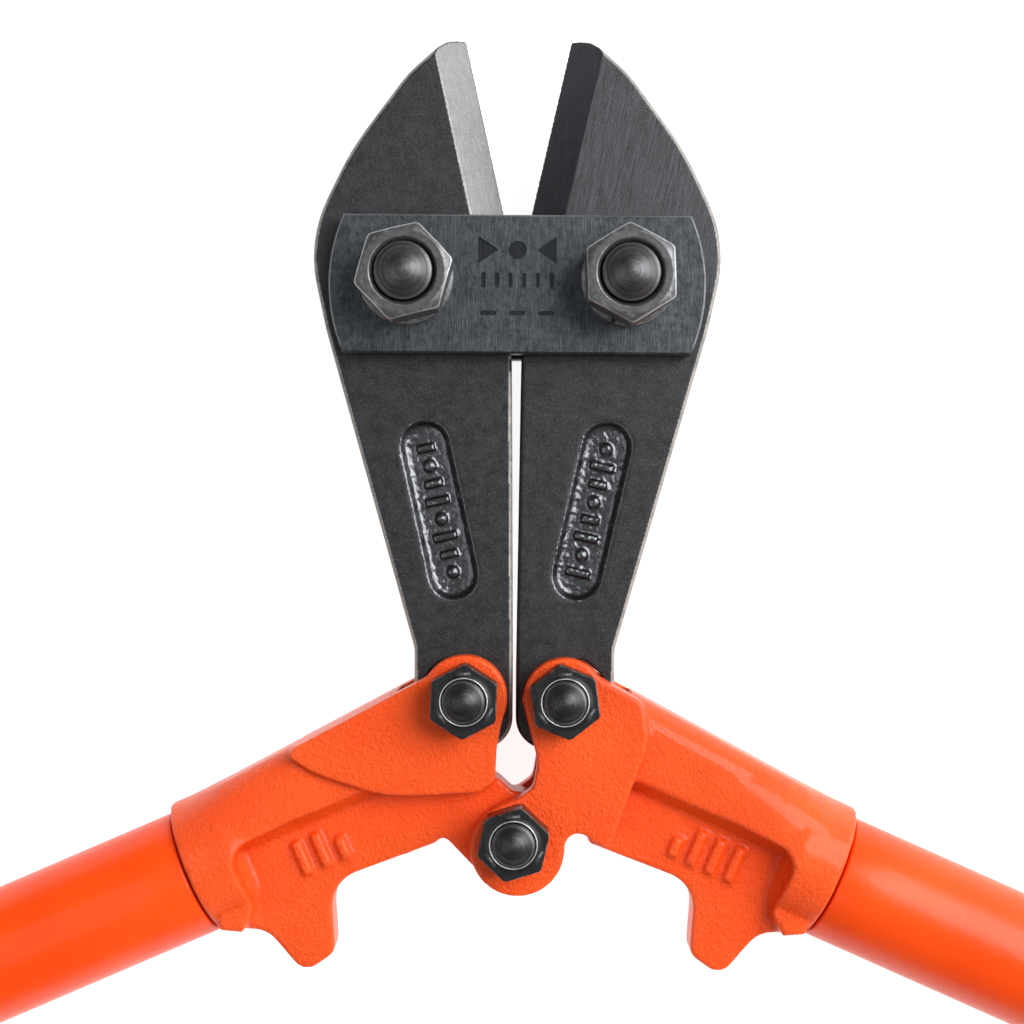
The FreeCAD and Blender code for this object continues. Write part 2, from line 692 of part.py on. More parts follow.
def make_handle_end(label, side, fork):
    """A forged handle end, its origin on the centre bolt's axis in the middle plane."""
    body = keep(new_body(label, ("0", CENTRE_Y, LEVEL)))
    inward, upward = tube_axes(side)
    face = along_tube(side, 0.0)
    back = new_sketch(body, label + "_back")
    add_outline(back, mirrored(side, web_corners()))
    plank = pad(body, back, "dims.rib_half * 2", midplane=True)
    fillet(body, plank, edges_at(plank.Shape, (SIZE["rib_half"], -SIZE["rib_half"]), min_length=50.0),
           "dims.rib_round")
    middle = along_tube(side, 0.0, SIZE["collar_rise"])
    collar = new_sketch(body, label + "_collar", tuple(middle), (inward, inward.cross(Vector(0, 0, 1))))
    reach, radius, small = SIZE["collar_length"], SIZE["collar_radius"], SIZE["rib_half"]
    profile = [(0, 0), (0, radius), (reach, radius), (reach + 15, small), (reach + 15, 0)]
    add_outline(collar, [(along, out, 0) for along, out in profile])
    turned = body.newObject("PartDesign::Revolution", label + "_collar_turn")
    turned.Profile = collar
    turned.ReferenceAxis = (collar, ["H_Axis"])
    turned.Angle = 360.0
    settle(turned)
    for z_face in (1, -1):
        recess = new_sketch(body, f"{label}_recess_{'front' if z_face > 0 else 'rear'}",
                            (0, 0, z_face * SIZE["web_half"]))
        points = [(along_tube(side, a, b), radius) for a, b, radius in RECESS]
        add_outline(recess, [(p.x, p.y, radius) for p, radius in points])
        pocket(body, recess, "dims.collar_radius * 2", reverse=z_face > 0)
    cheeks = new_sketch(body, label + "_cheeks")
    add_outline(cheeks, mirrored(side, right_pad_corners() if fork else left_pad_corners()))
    pad(body, cheeks, "dims.cheek_half * 2", midplane=True)
    tail_boss = new_sketch(body, label + "_tail_boss")
    add_circle(tail_boss, cell("tail_half_span", side), cell("centre_drop"), TAIL_BOSS[side])
    pad(body, tail_boss, "dims.cheek_half * 2", midplane=True)
    centre_boss = new_sketch(body, label + "_centre_boss")
    if fork:
        add_circle(centre_boss, *CENTRE_BOSS_SHIFT, CENTRE_BOSS)
        pad(body, centre_boss, "dims.cheek_half * 2", midplane=True)
    slot = new_sketch(body, label + "_slot")
    add_outline(slot, mirrored(side, tail_slot_corners(fork)))
    pocket(body, slot, "(dims.jaw_thickness / 2 + dims.side_gap) * 2", midplane=True)
    if not fork:
        tongue = new_sketch(body, label + "_tongue")
        add_outline(tongue, mirrored(side, tongue_corners()))
        pad(body, tongue, "dims.web_half * 2", midplane=True)
        add_circle(centre_boss, 0.0, 0.0, TONGUE_RADIUS)
        pad(body, centre_boss, "dims.web_half * 2", midplane=True)
    bores = new_sketch(body, label + "_bores")
    add_circle(bores, 0.0, 0.0, cell("pin_radius", 1.0, SIZE["pin_clearance"]))
    pin_bore = cell("pin_radius", 1.0, SIZE["pin_clearance"])
    add_circle(bores, cell("tail_half_span", side), cell("centre_drop"), pin_bore)
    pocket(body, bores)
    spigot = new_sketch(body, label + "_spigot", tuple(face), (upward, inward))
    add_circle(spigot, 0.0, 0.0, cell("tube_bore"))
    pad(body, spigot, "dims.spigot_length", reverse=True)
    return body


handle_end_left = make_handle_end("handle_end_left", -1, False)
handle_end_right = make_handle_end("handle_end_right", 1, True)

# ---------------------------------------------------------------- tubes and grips


def tube_place(side, outward_by):
    """Placement whose Z axis runs out along a handle's tube."""
    inward, upward = tube_axes(side)
    centre = Vector(0, SIZE["origin_shift"] - SIZE["tail_drop"] - SIZE["centre_drop"], SIZE["origin_drop"])
    outward = inward * -1
    turn = Rotation(upward, outward.cross(upward), outward, "ZXY")
    return Placement(centre + along_tube(side, -outward_by), turn)


def make_tube(label):
    body = keep(new_body(label))
    ring = new_sketch(body, label + "_ring")
    add_circle(ring, 0.0, 0.0, cell("tube_radius"))
    add_circle(ring, 0.0, 0.0, cell("tube_bore"))
    pad(body, ring, "dims.tube_length")
    return body


def make_grip(label):
    """A moulded sleeve with a guard at its front and a closed, rounded end."""
    body = keep(new_body(label))
    length, wall = SIZE["grip_length"], SIZE["grip_radius"]
    inside, guard = SIZE["tube_radius"] + 0.05, SIZE["grip_flange"]
    bore_end = length - SIZE["grip_end"]
    revolve(body, label + "_sleeve", [
        (inside, 0.0, 0),
        (guard - 1.2, 0.0, 1.0),
        (guard, 3.0, 2.5),
        (guard, 7.0, 3.0),
        (wall - 0.6, 14.0, 8.0),
        (wall, 60.0, 60.0),
        (wall, 118.0, 20.0),
        (wall + 1.4, length - 12.0, 8.0),
        (wall + 1.0, length - 1.0, 4.5),
        (9.0, length, 8.0),
        (0.0, length, 0),
        (0.0, bore_end, 0),
        (inside, bore_end, 0),
    ])
    return body


for name, side in (("left", -1), ("right", 1)):
    tube = make_tube(f"handle_tube_{name}")
    grip = make_grip(f"grip_{name}")
    tube.Placement = tube_place(side, 0.0)
    grip.Placement = tube_place(side, SIZE["tube_length"] + SIZE["grip_end"] - SIZE["grip_length"])

# ---------------------------------------------------------------- check and write

doc.recompute()
bad = [o.Name for o in doc.Objects if set(o.State) & {"Invalid", "Error"}]
if bad:
    raise RuntimeError(f"these objects failed: {bad}")
for part in PARTS:
    if part.Shape.isNull() or not part.Shape.isValid() or not part.Shape.Solids:
        raise RuntimeError(f"{part.Label} has no valid solid")
os.makedirs("parts", exist_ok=True)
for part in PARTS:
    part.Shape.exportStep(f"parts/{part.Label}.step")
whole = Part.makeCompound([part.Shape for part in PARTS]).BoundBox
print(f"{len(PARTS)} parts, X {whole.XMin:.2f} {whole.XMax:.2f}, Y {whole.YMin:.2f} {whole.YMax:.2f}, "
      f"Z {whole.ZMin:.2f} {whole.ZMax:.2f}")
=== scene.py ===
"""Looks of the bolt cutters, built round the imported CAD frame. Metres, in the row's own frame."""

import json
import math

import bmesh
import bpy
import numpy as np
from mathutils import Matrix, Vector, noise


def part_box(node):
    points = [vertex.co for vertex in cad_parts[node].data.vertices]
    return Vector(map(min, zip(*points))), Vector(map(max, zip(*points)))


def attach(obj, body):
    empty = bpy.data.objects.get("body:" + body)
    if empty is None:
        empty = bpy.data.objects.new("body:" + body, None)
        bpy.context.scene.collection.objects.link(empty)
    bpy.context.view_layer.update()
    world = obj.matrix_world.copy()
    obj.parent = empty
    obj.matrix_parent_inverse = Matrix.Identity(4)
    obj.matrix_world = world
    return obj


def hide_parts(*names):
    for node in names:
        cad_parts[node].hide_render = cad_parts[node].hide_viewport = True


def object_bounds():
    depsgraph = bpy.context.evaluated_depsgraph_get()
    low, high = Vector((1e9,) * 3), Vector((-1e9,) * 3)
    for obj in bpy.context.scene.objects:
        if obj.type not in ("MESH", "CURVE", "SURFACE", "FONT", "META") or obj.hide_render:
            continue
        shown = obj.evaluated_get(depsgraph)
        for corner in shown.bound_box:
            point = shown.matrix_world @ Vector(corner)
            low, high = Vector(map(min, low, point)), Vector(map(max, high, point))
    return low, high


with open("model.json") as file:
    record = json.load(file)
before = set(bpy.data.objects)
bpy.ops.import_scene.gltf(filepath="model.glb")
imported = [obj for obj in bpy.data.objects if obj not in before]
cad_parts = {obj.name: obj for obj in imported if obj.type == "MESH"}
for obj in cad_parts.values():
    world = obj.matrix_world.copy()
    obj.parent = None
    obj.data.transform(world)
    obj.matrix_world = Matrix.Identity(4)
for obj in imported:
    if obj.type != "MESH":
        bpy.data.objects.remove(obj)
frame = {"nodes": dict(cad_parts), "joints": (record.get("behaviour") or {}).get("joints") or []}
cad_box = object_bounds()
MM = 0.001

# ---------------------------------------------------------------- places, from the frame


def middle_of(node):
    """The middle of a CAD node's box."""
    low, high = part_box(node)
    return (low + high) / 2


def joint(name):
    """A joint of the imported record, by name."""
    return next(j for j in frame["joints"] if j["name"] == name)


JAW_PIVOT = {-1: Vector(joint("left_jaw_hinge")["pos_m"]), 1: Vector(joint("right_jaw_hinge")["pos_m"])}
CENTRE = Vector(joint("right_handle_hinge")["pos_m"])
LEVEL = CENTRE.z  # the jaws' middle plane
SIDE_NAMES = {-1: "left", 1: "right"}
EDGE_ANGLE = math.radians(joint("right_jaw_hinge")["range_deg"][1])
EDGE_REACH = 24.25 * MM  # jaw pivot to the cutting edge's line
BEVEL_WIDTH = 7.5 * MM
JAW_HALF = (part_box("jaw_left")[1].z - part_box("jaw_left")[0].z) / 2
PANEL_ENDS = ((-4.1 * MM, -36.7 * MM), (-10.6 * MM, -65.5 * MM))  # from the right jaw's pivot
# heights over the middle plane
PANEL_FLOOR = JAW_HALF - 2.0 * MM  # the jaws' panels
RIB_HALF = 10.6 * MM  # the handle ends' ribs
RECESS_FLOOR = 5.9 * MM  # the handle ends' recesses
# the two sizes of bolt: shank's radius, head across its flats, head's height, domed end's height
HALF_INCH = {"radius": 6.33 * MM, "flats": 19.0 * MM, "head": 7.9 * MM, "crown": 2.6 * MM}
THREE_EIGHTHS = {"radius": 4.74 * MM, "flats": 14.25 * MM, "head": 6.2 * MM, "crown": 1.9 * MM}
# each jaw's face keeps this much of its grinding lines, and its bevel has this tone, which is painted light:
# the left bevel pale as a painted reflection of the lamps on the right, the right bevel dark as painted shade
JAW_GRIND_AND_BEVEL_LIGHT = {-1: (0.12, (0.235, 0.235, 0.23)), 1: (0.6, (0.09, 0.095, 0.105))}
PLATE_HALF = (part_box("link_plate_front")[1].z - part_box("link_plate_front")[0].z) / 2


def axis_of(node):
    """(start, end) of a round node's axis; the start is the end nearer the middle of the tool."""
    points = np.array([v.co for v in frame["nodes"][node].data.vertices])
    mean = points.mean(0)
    along = np.linalg.svd(points - mean, full_matrices=False)[2][0]
    if np.dot(along, mean - np.array(CENTRE)) < 0:
        along = -along
    reach = (points - mean) @ along
    square = points - mean - np.outer(reach, along)
    centre = mean + (square.max(0) + square.min(0)) / 2
    centre -= along * np.dot(centre - mean, along)
    return Vector(centre + along * reach.min()), Vector(centre + along * reach.max())


def along_axis(start, end):
    """A matrix that stands a lathed piece on start, with its Z towards end and its X in the bench plane."""
    z_axis = (end - start).normalized()
    x_axis = Vector((0, 0, 1)).cross(z_axis).normalized()
    y_axis = z_axis.cross(x_axis)
    turn = Matrix((x_axis, y_axis, z_axis)).transposed().to_4x4()
    return Matrix.Translation(start) @ turn


# ---------------------------------------------------------------- node graphs


class Graph:
    """Builds one material. Inputs are numbers, colours, or (node, output) pairs."""

    def __init__(self, name):
        self.material = bpy.data.materials.new(name)
        self.material.use_nodes = True
        self.tree = self.material.node_tree
        self.surface = self.tree.nodes["Principled BSDF"]

    def fill(self, node, inputs):
        for key, value in inputs.items():
            if isinstance(value, tuple) and hasattr(value[0], "outputs"):
                self.tree.links.new(value[0].outputs[value[1]], node.inputs[key])
            else:
                node.inputs[key].default_value = value

    def add(self, kind, inputs=None, **settings):
        node = self.tree.nodes.new("ShaderNode" + kind)
        for key, value in settings.items():
            setattr(node, key, value)
        self.fill(node, inputs or {})
        return node

    def coords(self, scale=(1.0, 1.0, 1.0), turn=(0.0, 0.0, 0.0)):
        """Object coordinates in millimetres, scaled and turned."""
        place = self.add("TexCoord")
        moved = self.add("Mapping", {"Vector": (place, "Object"), "Scale": (1000.0,) * 3})
        if scale == (1.0, 1.0, 1.0) and turn == (0.0, 0.0, 0.0):
            return (moved, "Vector")
        turned = self.add("Mapping", {"Vector": (moved, "Vector"), "Rotation": turn})
        sized = self.add("Mapping", {"Vector": (turned, "Vector"), "Scale": scale})
        return (sized, "Vector")

    def noise(self, vector, scale, detail=3.0, rough=0.55):
        made = self.add("TexNoise", {"Vector": vector, "Scale": scale, "Detail": detail, "Roughness": rough})
        return (made, "Fac")

    def ramp(self, value, low, high, to_low=0.0, to_high=1.0):
        made = self.add("MapRange", {"Value": value, "From Min": low, "From Max": high,
                                     "To Min": to_low, "To Max": to_high}, clamp=True)
        return (made, "Result")

    def math(self, operation, a, b=0.0):
        made = self.add("Math", operation=operation)
        self.fill(made, {0: a, 1: b})
        return (made, "Value")

    def mix(self, factor, a, b):
        """Mixes two colours."""
        made = self.add("Mix", data_type="RGBA")
        self.fill(made, {"Factor": factor})
        for key, value in ((6, a), (7, b)):
            if isinstance(value[0], (int, float)):
                made.inputs[key].default_value = (*value, 1.0)
            else:
                self.tree.links.new(value[0].outputs[value[1]], made.inputs[key])
        return (made, 2)

    def bump(self, height, distance_mm, strength=1.0, under=None):
        inputs = {"Height": height, "Distance": distance_mm * MM, "Strength": strength}
        if under:
            inputs["Normal"] = under
        return (self.add("Bump", inputs), "Normal")

    def attribute(self, name):
        return (self.add("Attribute", attribute_name=name), "Fac")

    def finish(self, **inputs):
        names = {"color": "Base Color", "rough": "Roughness", "metal": "Metallic", "normal": "Normal",
                 "coat": "Coat Weight", "coat_rough": "Coat Roughness", "specular": "Specular IOR Level",
                 "anisotropic": "Anisotropic", "tangent": "Tangent"}
        given = {}
        for key, value in inputs.items():
            if key == "color" and isinstance(value[0], (int, float)):
                value = [*value, 1.0]
            given[names[key]] = value
        self.fill(self.surface, given)
        return self.material


def powder_orange(name, grain, gloss):
    """Orange powder coat: a leathery skin of small lumps, with painted shade darkening the hollows and a
    paler orange on the sharp ridges.
    """
    g = Graph(name)
    place = g.coords()
    lumps = g.noise(place, 0.85, 2.0, 0.5)
    skin = g.noise(g.coords(scale=(1.0, 0.72, 1.0)), 1.9, 3.0, 0.62)
    fine = g.noise(place, 7.0, 2.0, 0.6)
    broad = g.noise(place, 0.05, 2.0, 0.5)
    ridge = g.ramp((g.add("NewGeometry"), "Pointiness"), 0.5, 0.56)
    hollow_shade = g.ramp((g.add("NewGeometry"), "Pointiness"), 0.5, 0.45)
    tone = g.mix(g.ramp(broad, 0.35, 0.65), (0.95, 0.073, 0.002), (1.0, 0.096, 0.005))
    tone = g.mix(g.math("MULTIPLY", g.ramp(skin, 0.35, 0.7), 0.16), tone, (1.0, 0.14, 0.025))
    # painted shade: the hollows, where pointiness is low, darkened towards a deep red
    tone = g.mix(g.math("MULTIPLY", hollow_shade, 0.6), tone, (0.48, 0.016, 0.001))
    tone = g.mix(g.math("MULTIPLY", ridge, 0.3), tone, (1.0, 0.14, 0.03))
    height = g.math("ADD", g.math("MULTIPLY", skin, 1.0), g.math("MULTIPLY", lumps, 0.8))
    normal = g.bump(height, 0.42 * grain)
    normal = g.bump(fine, 0.075 * grain, 1.0, normal)
    rough = g.ramp(skin, 0.3, 0.75, gloss - 0.08, gloss + 0.08)
    return g.finish(color=tone, rough=rough, normal=normal, coat=0.24, coat_rough=0.12, specular=0.24)


def tube_orange():
    """The same paint, sprayed smoothly over a drawn tube."""
    g = Graph("tube_paint")
    place = g.coords()
    broad = g.noise(place, 0.04, 2.0, 0.5)
    peel = g.noise(place, 0.9, 2.0, 0.45)
    fine = g.noise(place, 6.0, 2.0, 0.6)
    tone = g.mix(g.ramp(broad, 0.35, 0.65), (0.94, 0.066, 0.002), (0.98, 0.083, 0.004))
    normal = g.bump(peel, 0.06)
    normal = g.bump(fine, 0.012, 1.0, normal)
    rough = g.ramp(peel, 0.3, 0.7, 0.3, 0.38)
    return g.finish(color=tone, rough=rough, normal=normal, coat=0.08, coat_rough=0.18, specular=0.24)


def forged_black(name, lean, shine, bevel_painted_light_tone):
    """Black oxide over forged steel. Attribute 'ground' is 1 on the ground bevels, 'blade' on the
    faces beside them, which keep their grinding lines, 'rim' on the broken edges that get a painted
    highlight, and 'panel' on the panels' floors."""
    g = Graph(name)
    place = g.coords()
    streaks = g.noise(g.coords(scale=(1.0, 0.028, 1.0), turn=(0.0, 0.0, lean)), 5.2, 4.0, 0.68)
    scratch = g.noise(g.coords(scale=(1.0, 0.02, 1.0), turn=(0.0, 0.0, lean)), 9.0, 3.0, 0.6)
    mottle = g.noise(place, 0.42, 4.0, 0.62)
    grit = g.noise(place, 3.2, 3.0, 0.65)
    bare, blade, floor = g.attribute("ground"), g.attribute("blade"), g.attribute("panel")
    ridge = g.ramp((g.add("NewGeometry"), "Pointiness"), 0.52, 0.6)
    oxide = g.mix(g.ramp(mottle, 0.3, 0.7), (0.006, 0.0063, 0.0072), (0.022, 0.0225, 0.025))
    oxide = g.mix(g.math("MULTIPLY", g.ramp(grit, 0.5, 0.75), 0.55), oxide, (0.1, 0.1, 0.105))
    lines = g.math("MULTIPLY", g.math("MULTIPLY", g.ramp(streaks, 0.38, 0.7), blade), shine)
    oxide = g.mix(lines, oxide, (0.115, 0.125, 0.135))
    worn = g.math("MULTIPLY", ridge, g.ramp(grit, 0.3, 0.6))
    oxide = g.mix(g.math("MULTIPLY", worn, 0.7), oxide, (0.34, 0.34, 0.34))
    # painted highlight: the side walls marked 'rim' lightened to a pale steel, broken up by the mottle
    rim = g.math("MULTIPLY", g.attribute("rim"), g.ramp(mottle, 0.25, 0.55, 0.35, 0.85))
    oxide = g.mix(rim, oxide, (0.36, 0.335, 0.31))
    # the bevel's tone is painted light: lighter on one jaw and darker on the other, by how each bevel faces
    # the lamps
    dull = tuple(0.72 * c for c in bevel_painted_light_tone)
    steel = g.mix(g.ramp(scratch, 0.35, 0.65), dull, bevel_painted_light_tone)
    steel = g.mix(g.math("MULTIPLY", g.ramp(grit, 0.5, 0.8), 0.35), steel, dull)
    oxide = g.mix(floor, oxide, (0.11, 0.112, 0.12))
    tone = g.mix(bare, oxide, steel)
    metal = g.math("ADD", g.math("MULTIPLY", g.math("MAXIMUM", bare, floor), 0.65), 0.3)
    rough = g.ramp(mottle, 0.3, 0.7, 0.36, 0.5)
    rough = g.math("SUBTRACT", rough, g.math("MULTIPLY", floor, 0.22))
    grind = g.math("ADD", bare, g.math("MULTIPLY", blade, shine))
    normal = g.bump(g.math("MULTIPLY", streaks, grind), 0.05)
    normal = g.bump(grit, 0.045, 1.0, normal)
    return g.finish(color=tone, rough=rough, metal=metal, normal=normal, specular=0.5)


def blued_plate(name, centre):
    """Blued link plate, brushed across its length, its edges but the lowest given a painted highlight, and
    its stamps dark.
    """
    g = Graph(name)
    here = g.add("VectorMath", {0: g.coords(), 1: tuple(1000.0 * c for c in centre)}, operation="SUBTRACT")
    signed = g.add("SeparateXYZ", {0: (here, "Vector")})
    here = g.add("VectorMath", {0: (here, "Vector")}, operation="ABSOLUTE")
    away = g.add("SeparateXYZ", {0: (here, "Vector")})
    half = PLATE_HALF / MM
    sunk = g.ramp((away, "Z"), half - 0.1, half - 0.22)
    middle = g.ramp((away, "X"), 14.0, 13.0)
    rim = g.ramp((away, "X"), 20.0, 21.0)
    rim = g.math("MAXIMUM", rim, g.ramp((away, "Y"), 14.2, 14.4))
    stamp = g.math("MULTIPLY", sunk, g.math("MULTIPLY", middle, g.ramp((away, "Y"), 14.4, 14.2)))
    under_face = g.ramp((away, "Z"), half - 0.02, half - 0.12)
    near_face = g.ramp((away, "Z"), half - 0.9, half - 0.5)
    edge = g.math("MULTIPLY", g.math("MULTIPLY", under_face, rim), near_face)
    brush = g.noise(g.coords(scale=(1.0, 0.05, 1.0)), 4.2, 4.0, 0.7)
    dash = g.noise(g.coords(scale=(1.0, 0.16, 1.0)), 2.6, 3.0, 0.7)
    mottle = g.noise(g.coords(), 0.16, 3.0, 0.6)
    tone = g.mix(g.ramp(mottle, 0.3, 0.7), (0.034, 0.041, 0.048), (0.058, 0.067, 0.076))
    tone = g.mix(g.math("MULTIPLY", g.ramp(brush, 0.45, 0.75), 0.5), tone, (0.15, 0.165, 0.18))
    tone = g.mix(g.math("MULTIPLY", g.ramp(dash, 0.52, 0.7), 0.35), tone, (0.02, 0.024, 0.03))
    blotch = g.noise(g.coords(scale=(1.0, 0.7, 1.0)), 0.75, 4.0, 0.7)
    speck = g.noise(g.coords(), 5.5, 2.0, 0.6)
    tone = g.mix(g.math("MULTIPLY", g.ramp(blotch, 0.45, 0.62), 0.6), tone, (0.012, 0.015, 0.018))
    tone = g.mix(g.math("MULTIPLY", g.ramp(speck, 0.56, 0.7), 0.5), tone, (0.2, 0.21, 0.22))
    # painted highlight on the plate's edges, left off the lowest edge, which stays in shade; broken up by the
    # dashes
    edge = g.math("MULTIPLY", edge, g.ramp((signed, "Y"), -14.2, -13.5))
    edge_highlight = g.math("MULTIPLY", edge, g.ramp(dash, 0.25, 0.6))
    tone = g.mix(g.math("MULTIPLY", edge_highlight, 0.6), tone, (0.3, 0.31, 0.32))
    tone = g.mix(g.math("MULTIPLY", stamp, 0.85), tone, (0.008, 0.009, 0.011))
    normal = g.bump(brush, 0.05)
    normal = g.bump(dash, 0.04, 1.0, normal)
    rough = g.ramp(brush, 0.3, 0.7, 0.34, 0.48)
    return g.finish(color=tone, rough=rough, metal=0.75, normal=normal)


def black_nut(name, base, worn_to, reach):
    """Blackened nut. Attribute 'wear' is 1 on its edges, where the finish has rubbed through."""
    g = Graph(name)
    place = g.coords()
    mottle = g.noise(place, 0.7, 4.0, 0.65)
    grit = g.noise(place, 3.4, 3.0, 0.6)
    dark = tuple(0.62 * c for c in base)
    tone = g.mix(g.ramp(mottle, 0.3, 0.7), dark, base)
    uneven = g.noise(place, 0.28, 3.0, 0.6)
    rub = g.math("ADD", g.attribute("wear"), g.math("MULTIPLY", g.math("ADD", mottle, uneven), 0.55))
    rub = g.ramp(rub, 1.0 - reach, 1.5 - reach)
    tone = g.mix(rub, tone, worn_to)
    metal = g.math("ADD", g.math("MULTIPLY", rub, 0.45), 0.5)
    rough = g.ramp(mottle, 0.3, 0.7, 0.3, 0.44)
    normal = g.bump(grit, 0.03)
    normal = g.bump(mottle, 0.05, 1.0, normal)
    return g.finish(color=tone, rough=rough, metal=metal, normal=normal)


def turned_end(name, base):
    """Turned steel: fine rings about the piece's own axis."""
    g = Graph(name)
    place = g.coords()
    flat = g.add("VectorMath", {0: place, 1: (1.0, 1.0, 0.0)}, operation="MULTIPLY")
    out = (g.add("VectorMath", {0: (flat, "Vector")}, operation="LENGTH"), "Value")
    wobble = g.math("MULTIPLY", g.noise(place, 0.5, 2.0), 0.35)
    ring_at = g.add("CombineXYZ", {"X": g.math("ADD", out, wobble)})
    rings = g.noise((ring_at, "Vector"), 3.6, 3.0, 0.7)
    mottle = g.noise(place, 0.8, 3.0, 0.6)
    dark = tuple(0.5 * c for c in base)
    tone = g.mix(g.ramp(rings, 0.35, 0.65), dark, base)
    tone = g.mix(g.math("MULTIPLY", g.ramp(mottle, 0.5, 0.75), 0.4), tone, dark)
    tone = g.mix(g.attribute("wear"), tone, (0.72, 0.71, 0.7))
    tangent = g.add("Tangent", direction_type="RADIAL", axis="Z")
    normal = g.bump(rings, 0.1)
    return g.finish(color=tone, rough=0.3, metal=0.9, normal=normal, anisotropic=0.7,
                    tangent=(tangent, "Tangent"))


def grip_rubber():
    """Moulded black rubber with a fine satin grain and a little dust in the grain."""
    g = Graph("grip_rubber")
    place = g.coords()
    grain = g.noise(place, 3.0, 4.0, 0.65)
    patch = g.noise(place, 0.06, 3.0, 0.6)
    tone = g.mix(g.ramp(patch, 0.3, 0.7), (0.014, 0.014, 0.015), (0.024, 0.024, 0.025))
    tone = g.mix(g.math("MULTIPLY", g.ramp(grain, 0.55, 0.8), 0.3), tone, (0.06, 0.058, 0.055))
    normal = g.bump(grain, 0.09)
    rough = g.ramp(patch, 0.3, 0.7, 0.55, 0.68)
    return g.finish(color=tone, rough=rough, normal=normal, specular=0.4)


def floor_paper():
    """A white table lit from within, as packshots are taken on."""
    g = Graph("floor_paper")
    fleck = g.noise(g.coords(), 0.4, 3.0, 0.6)
    tone = g.mix(g.ramp(fleck, 0.3, 0.7), (0.49, 0.49, 0.49), (0.52, 0.52, 0.52))
    g.fill(g.surface, {"Emission Color": g.mix(g.ramp(fleck, 0.3, 0.7), (0.97, 0.97, 0.97), (1.0, 1.0, 1.0)),
                       "Emission Strength": 0.9})
    return g.finish(color=tone, rough=0.9, specular=0.1)


# ---------------------------------------------------------------- mesh helpers


def show(name, mesh, material):
    """Links a mesh as a smooth-shaded piece of one material."""
    made = bpy.data.objects.new(name, mesh)
    bpy.context.scene.collection.objects.link(made)
    mesh.materials.clear()
    mesh.materials.append(material)
    mesh.polygons.foreach_set("use_smooth", [True] * len(mesh.polygons))
    return made


def settle(piece, body, slot, *nodes):
    """Rides a piece on a body, in place of the CAD nodes that it stands for."""
    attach(piece, body)
    if nodes:
        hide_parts(*nodes)


def set_attribute(mesh, name, values):
    """Stores a number at each vertex, for the shader to read."""
    layer = mesh.attributes.get(name) or mesh.attributes.new(name, "FLOAT", "POINT")
    layer.data.foreach_set("value", np.asarray(values, dtype=np.float32))


def polar_mesh(name, rings, segments=144, closed=True):
    """Skins rings about Z. Each ring is (radius, height, wear), where radius and height may be
    functions of the angle. A ring of radius 0 at either end closes the piece on its axis."""
    bm = bmesh.new()
    wear_layer = bm.verts.layers.float.new("wear")
    loops = []
    for radius, height, wear in rings:
        loop = []
        if radius == 0:
            vertex = bm.verts.new((0, 0, height))
            vertex[wear_layer] = wear
            loops.append([vertex])
            continue
        for k in range(segments):
            turn = 2 * math.pi * k / segments
            out = radius(turn) if callable(radius) else radius
            up = height(turn) if callable(height) else height
            vertex = bm.verts.new((out * math.cos(turn), out * math.sin(turn), up))
            vertex[wear_layer] = wear(turn) if callable(wear) else wear
            loop.append(vertex)
        loops.append(loop)
    pairs = list(zip(loops, loops[1:]))
    if closed:
        pairs.append((loops[-1], loops[0]))
    for below, above in pairs:
        for k in range(segments):
            j = (k + 1) % segments
            if len(below) == 1:
                bm.faces.new((below[0], above[j], above[k]))
            elif len(above) == 1:
                bm.faces.new((below[k], below[j], above[0]))
            else:
                bm.faces.new((below[k], below[j], above[j], above[k]))
    bmesh.ops.recalc_face_normals(bm, faces=bm.faces)
    mesh = bpy.data.meshes.new(name)
    bm.to_mesh(mesh)
    bm.free()
    return mesh


def copy_of(node, name):
    """A welded copy of a CAD node's mesh."""
    bm = bmesh.new()
    bm.from_mesh(frame["nodes"][node].data)
    bmesh.ops.remove_doubles(bm, verts=bm.verts, dist=1e-6)
    mesh = bpy.data.meshes.new(name)
    bm.to_mesh(mesh)
    bm.free()
    return mesh


def add_block(bm, place, size):
    """A box of this size, its middle at a matrix."""
    bmesh.ops.create_cube(bm, size=1.0, matrix=place @ Matrix.Diagonal((*size, 1.0)))


def add_dome(bm, place, radius, height):
    """A round stud, its middle at a matrix."""
    scale = Matrix.Diagonal((radius, radius, height, 1.0))
    bmesh.ops.create_uvsphere(bm, u_segments=20, v_segments=10, radius=1.0, matrix=place @ scale)


def add_hull(bm, points):
    """The convex body round these points."""
    made = bmesh.ops.convex_hull(bm, input=[bm.verts.new(p) for p in points])
    loose = {v for v in made["geom_interior"] + made["geom_unused"] if isinstance(v, bmesh.types.BMVert)}
    bmesh.ops.delete(bm, geom=list(loose), context="VERTS")


def forged(name, node, marks, voxel, rounds):
    """A CAD node with raised marks welded on, remeshed finely and softened as a forging is."""
    mesh = copy_of(node, name)
    bm = bmesh.new()
    bm.from_mesh(mesh)
    for mark in marks:
        mark(bm)
    bm.to_mesh(mesh)
    bm.free()
    rough = bpy.data.objects.new(name + "_rough", mesh)
    bpy.context.scene.collection.objects.link(rough)
    remesh = rough.modifiers.new("remesh", "REMESH")
    remesh.mode, remesh.voxel_size = "VOXEL", voxel
    soften = rough.modifiers.new("soften", "SMOOTH")
    soften.factor, soften.iterations = 0.5, rounds
    ready = rough.evaluated_get(bpy.context.evaluated_depsgraph_get())
    made = bpy.data.meshes.new_from_object(ready)
    made.name = name
    bpy.data.objects.remove(rough)
    return made


# ---------------------------------------------------------------- jaws


def towards_edge(side):
    """A unit vector from a jaw's pivot towards its cutting edge, square to the edge."""
    return Vector((-side * math.cos(EDGE_ANGLE), math.sin(EDGE_ANGLE), 0))


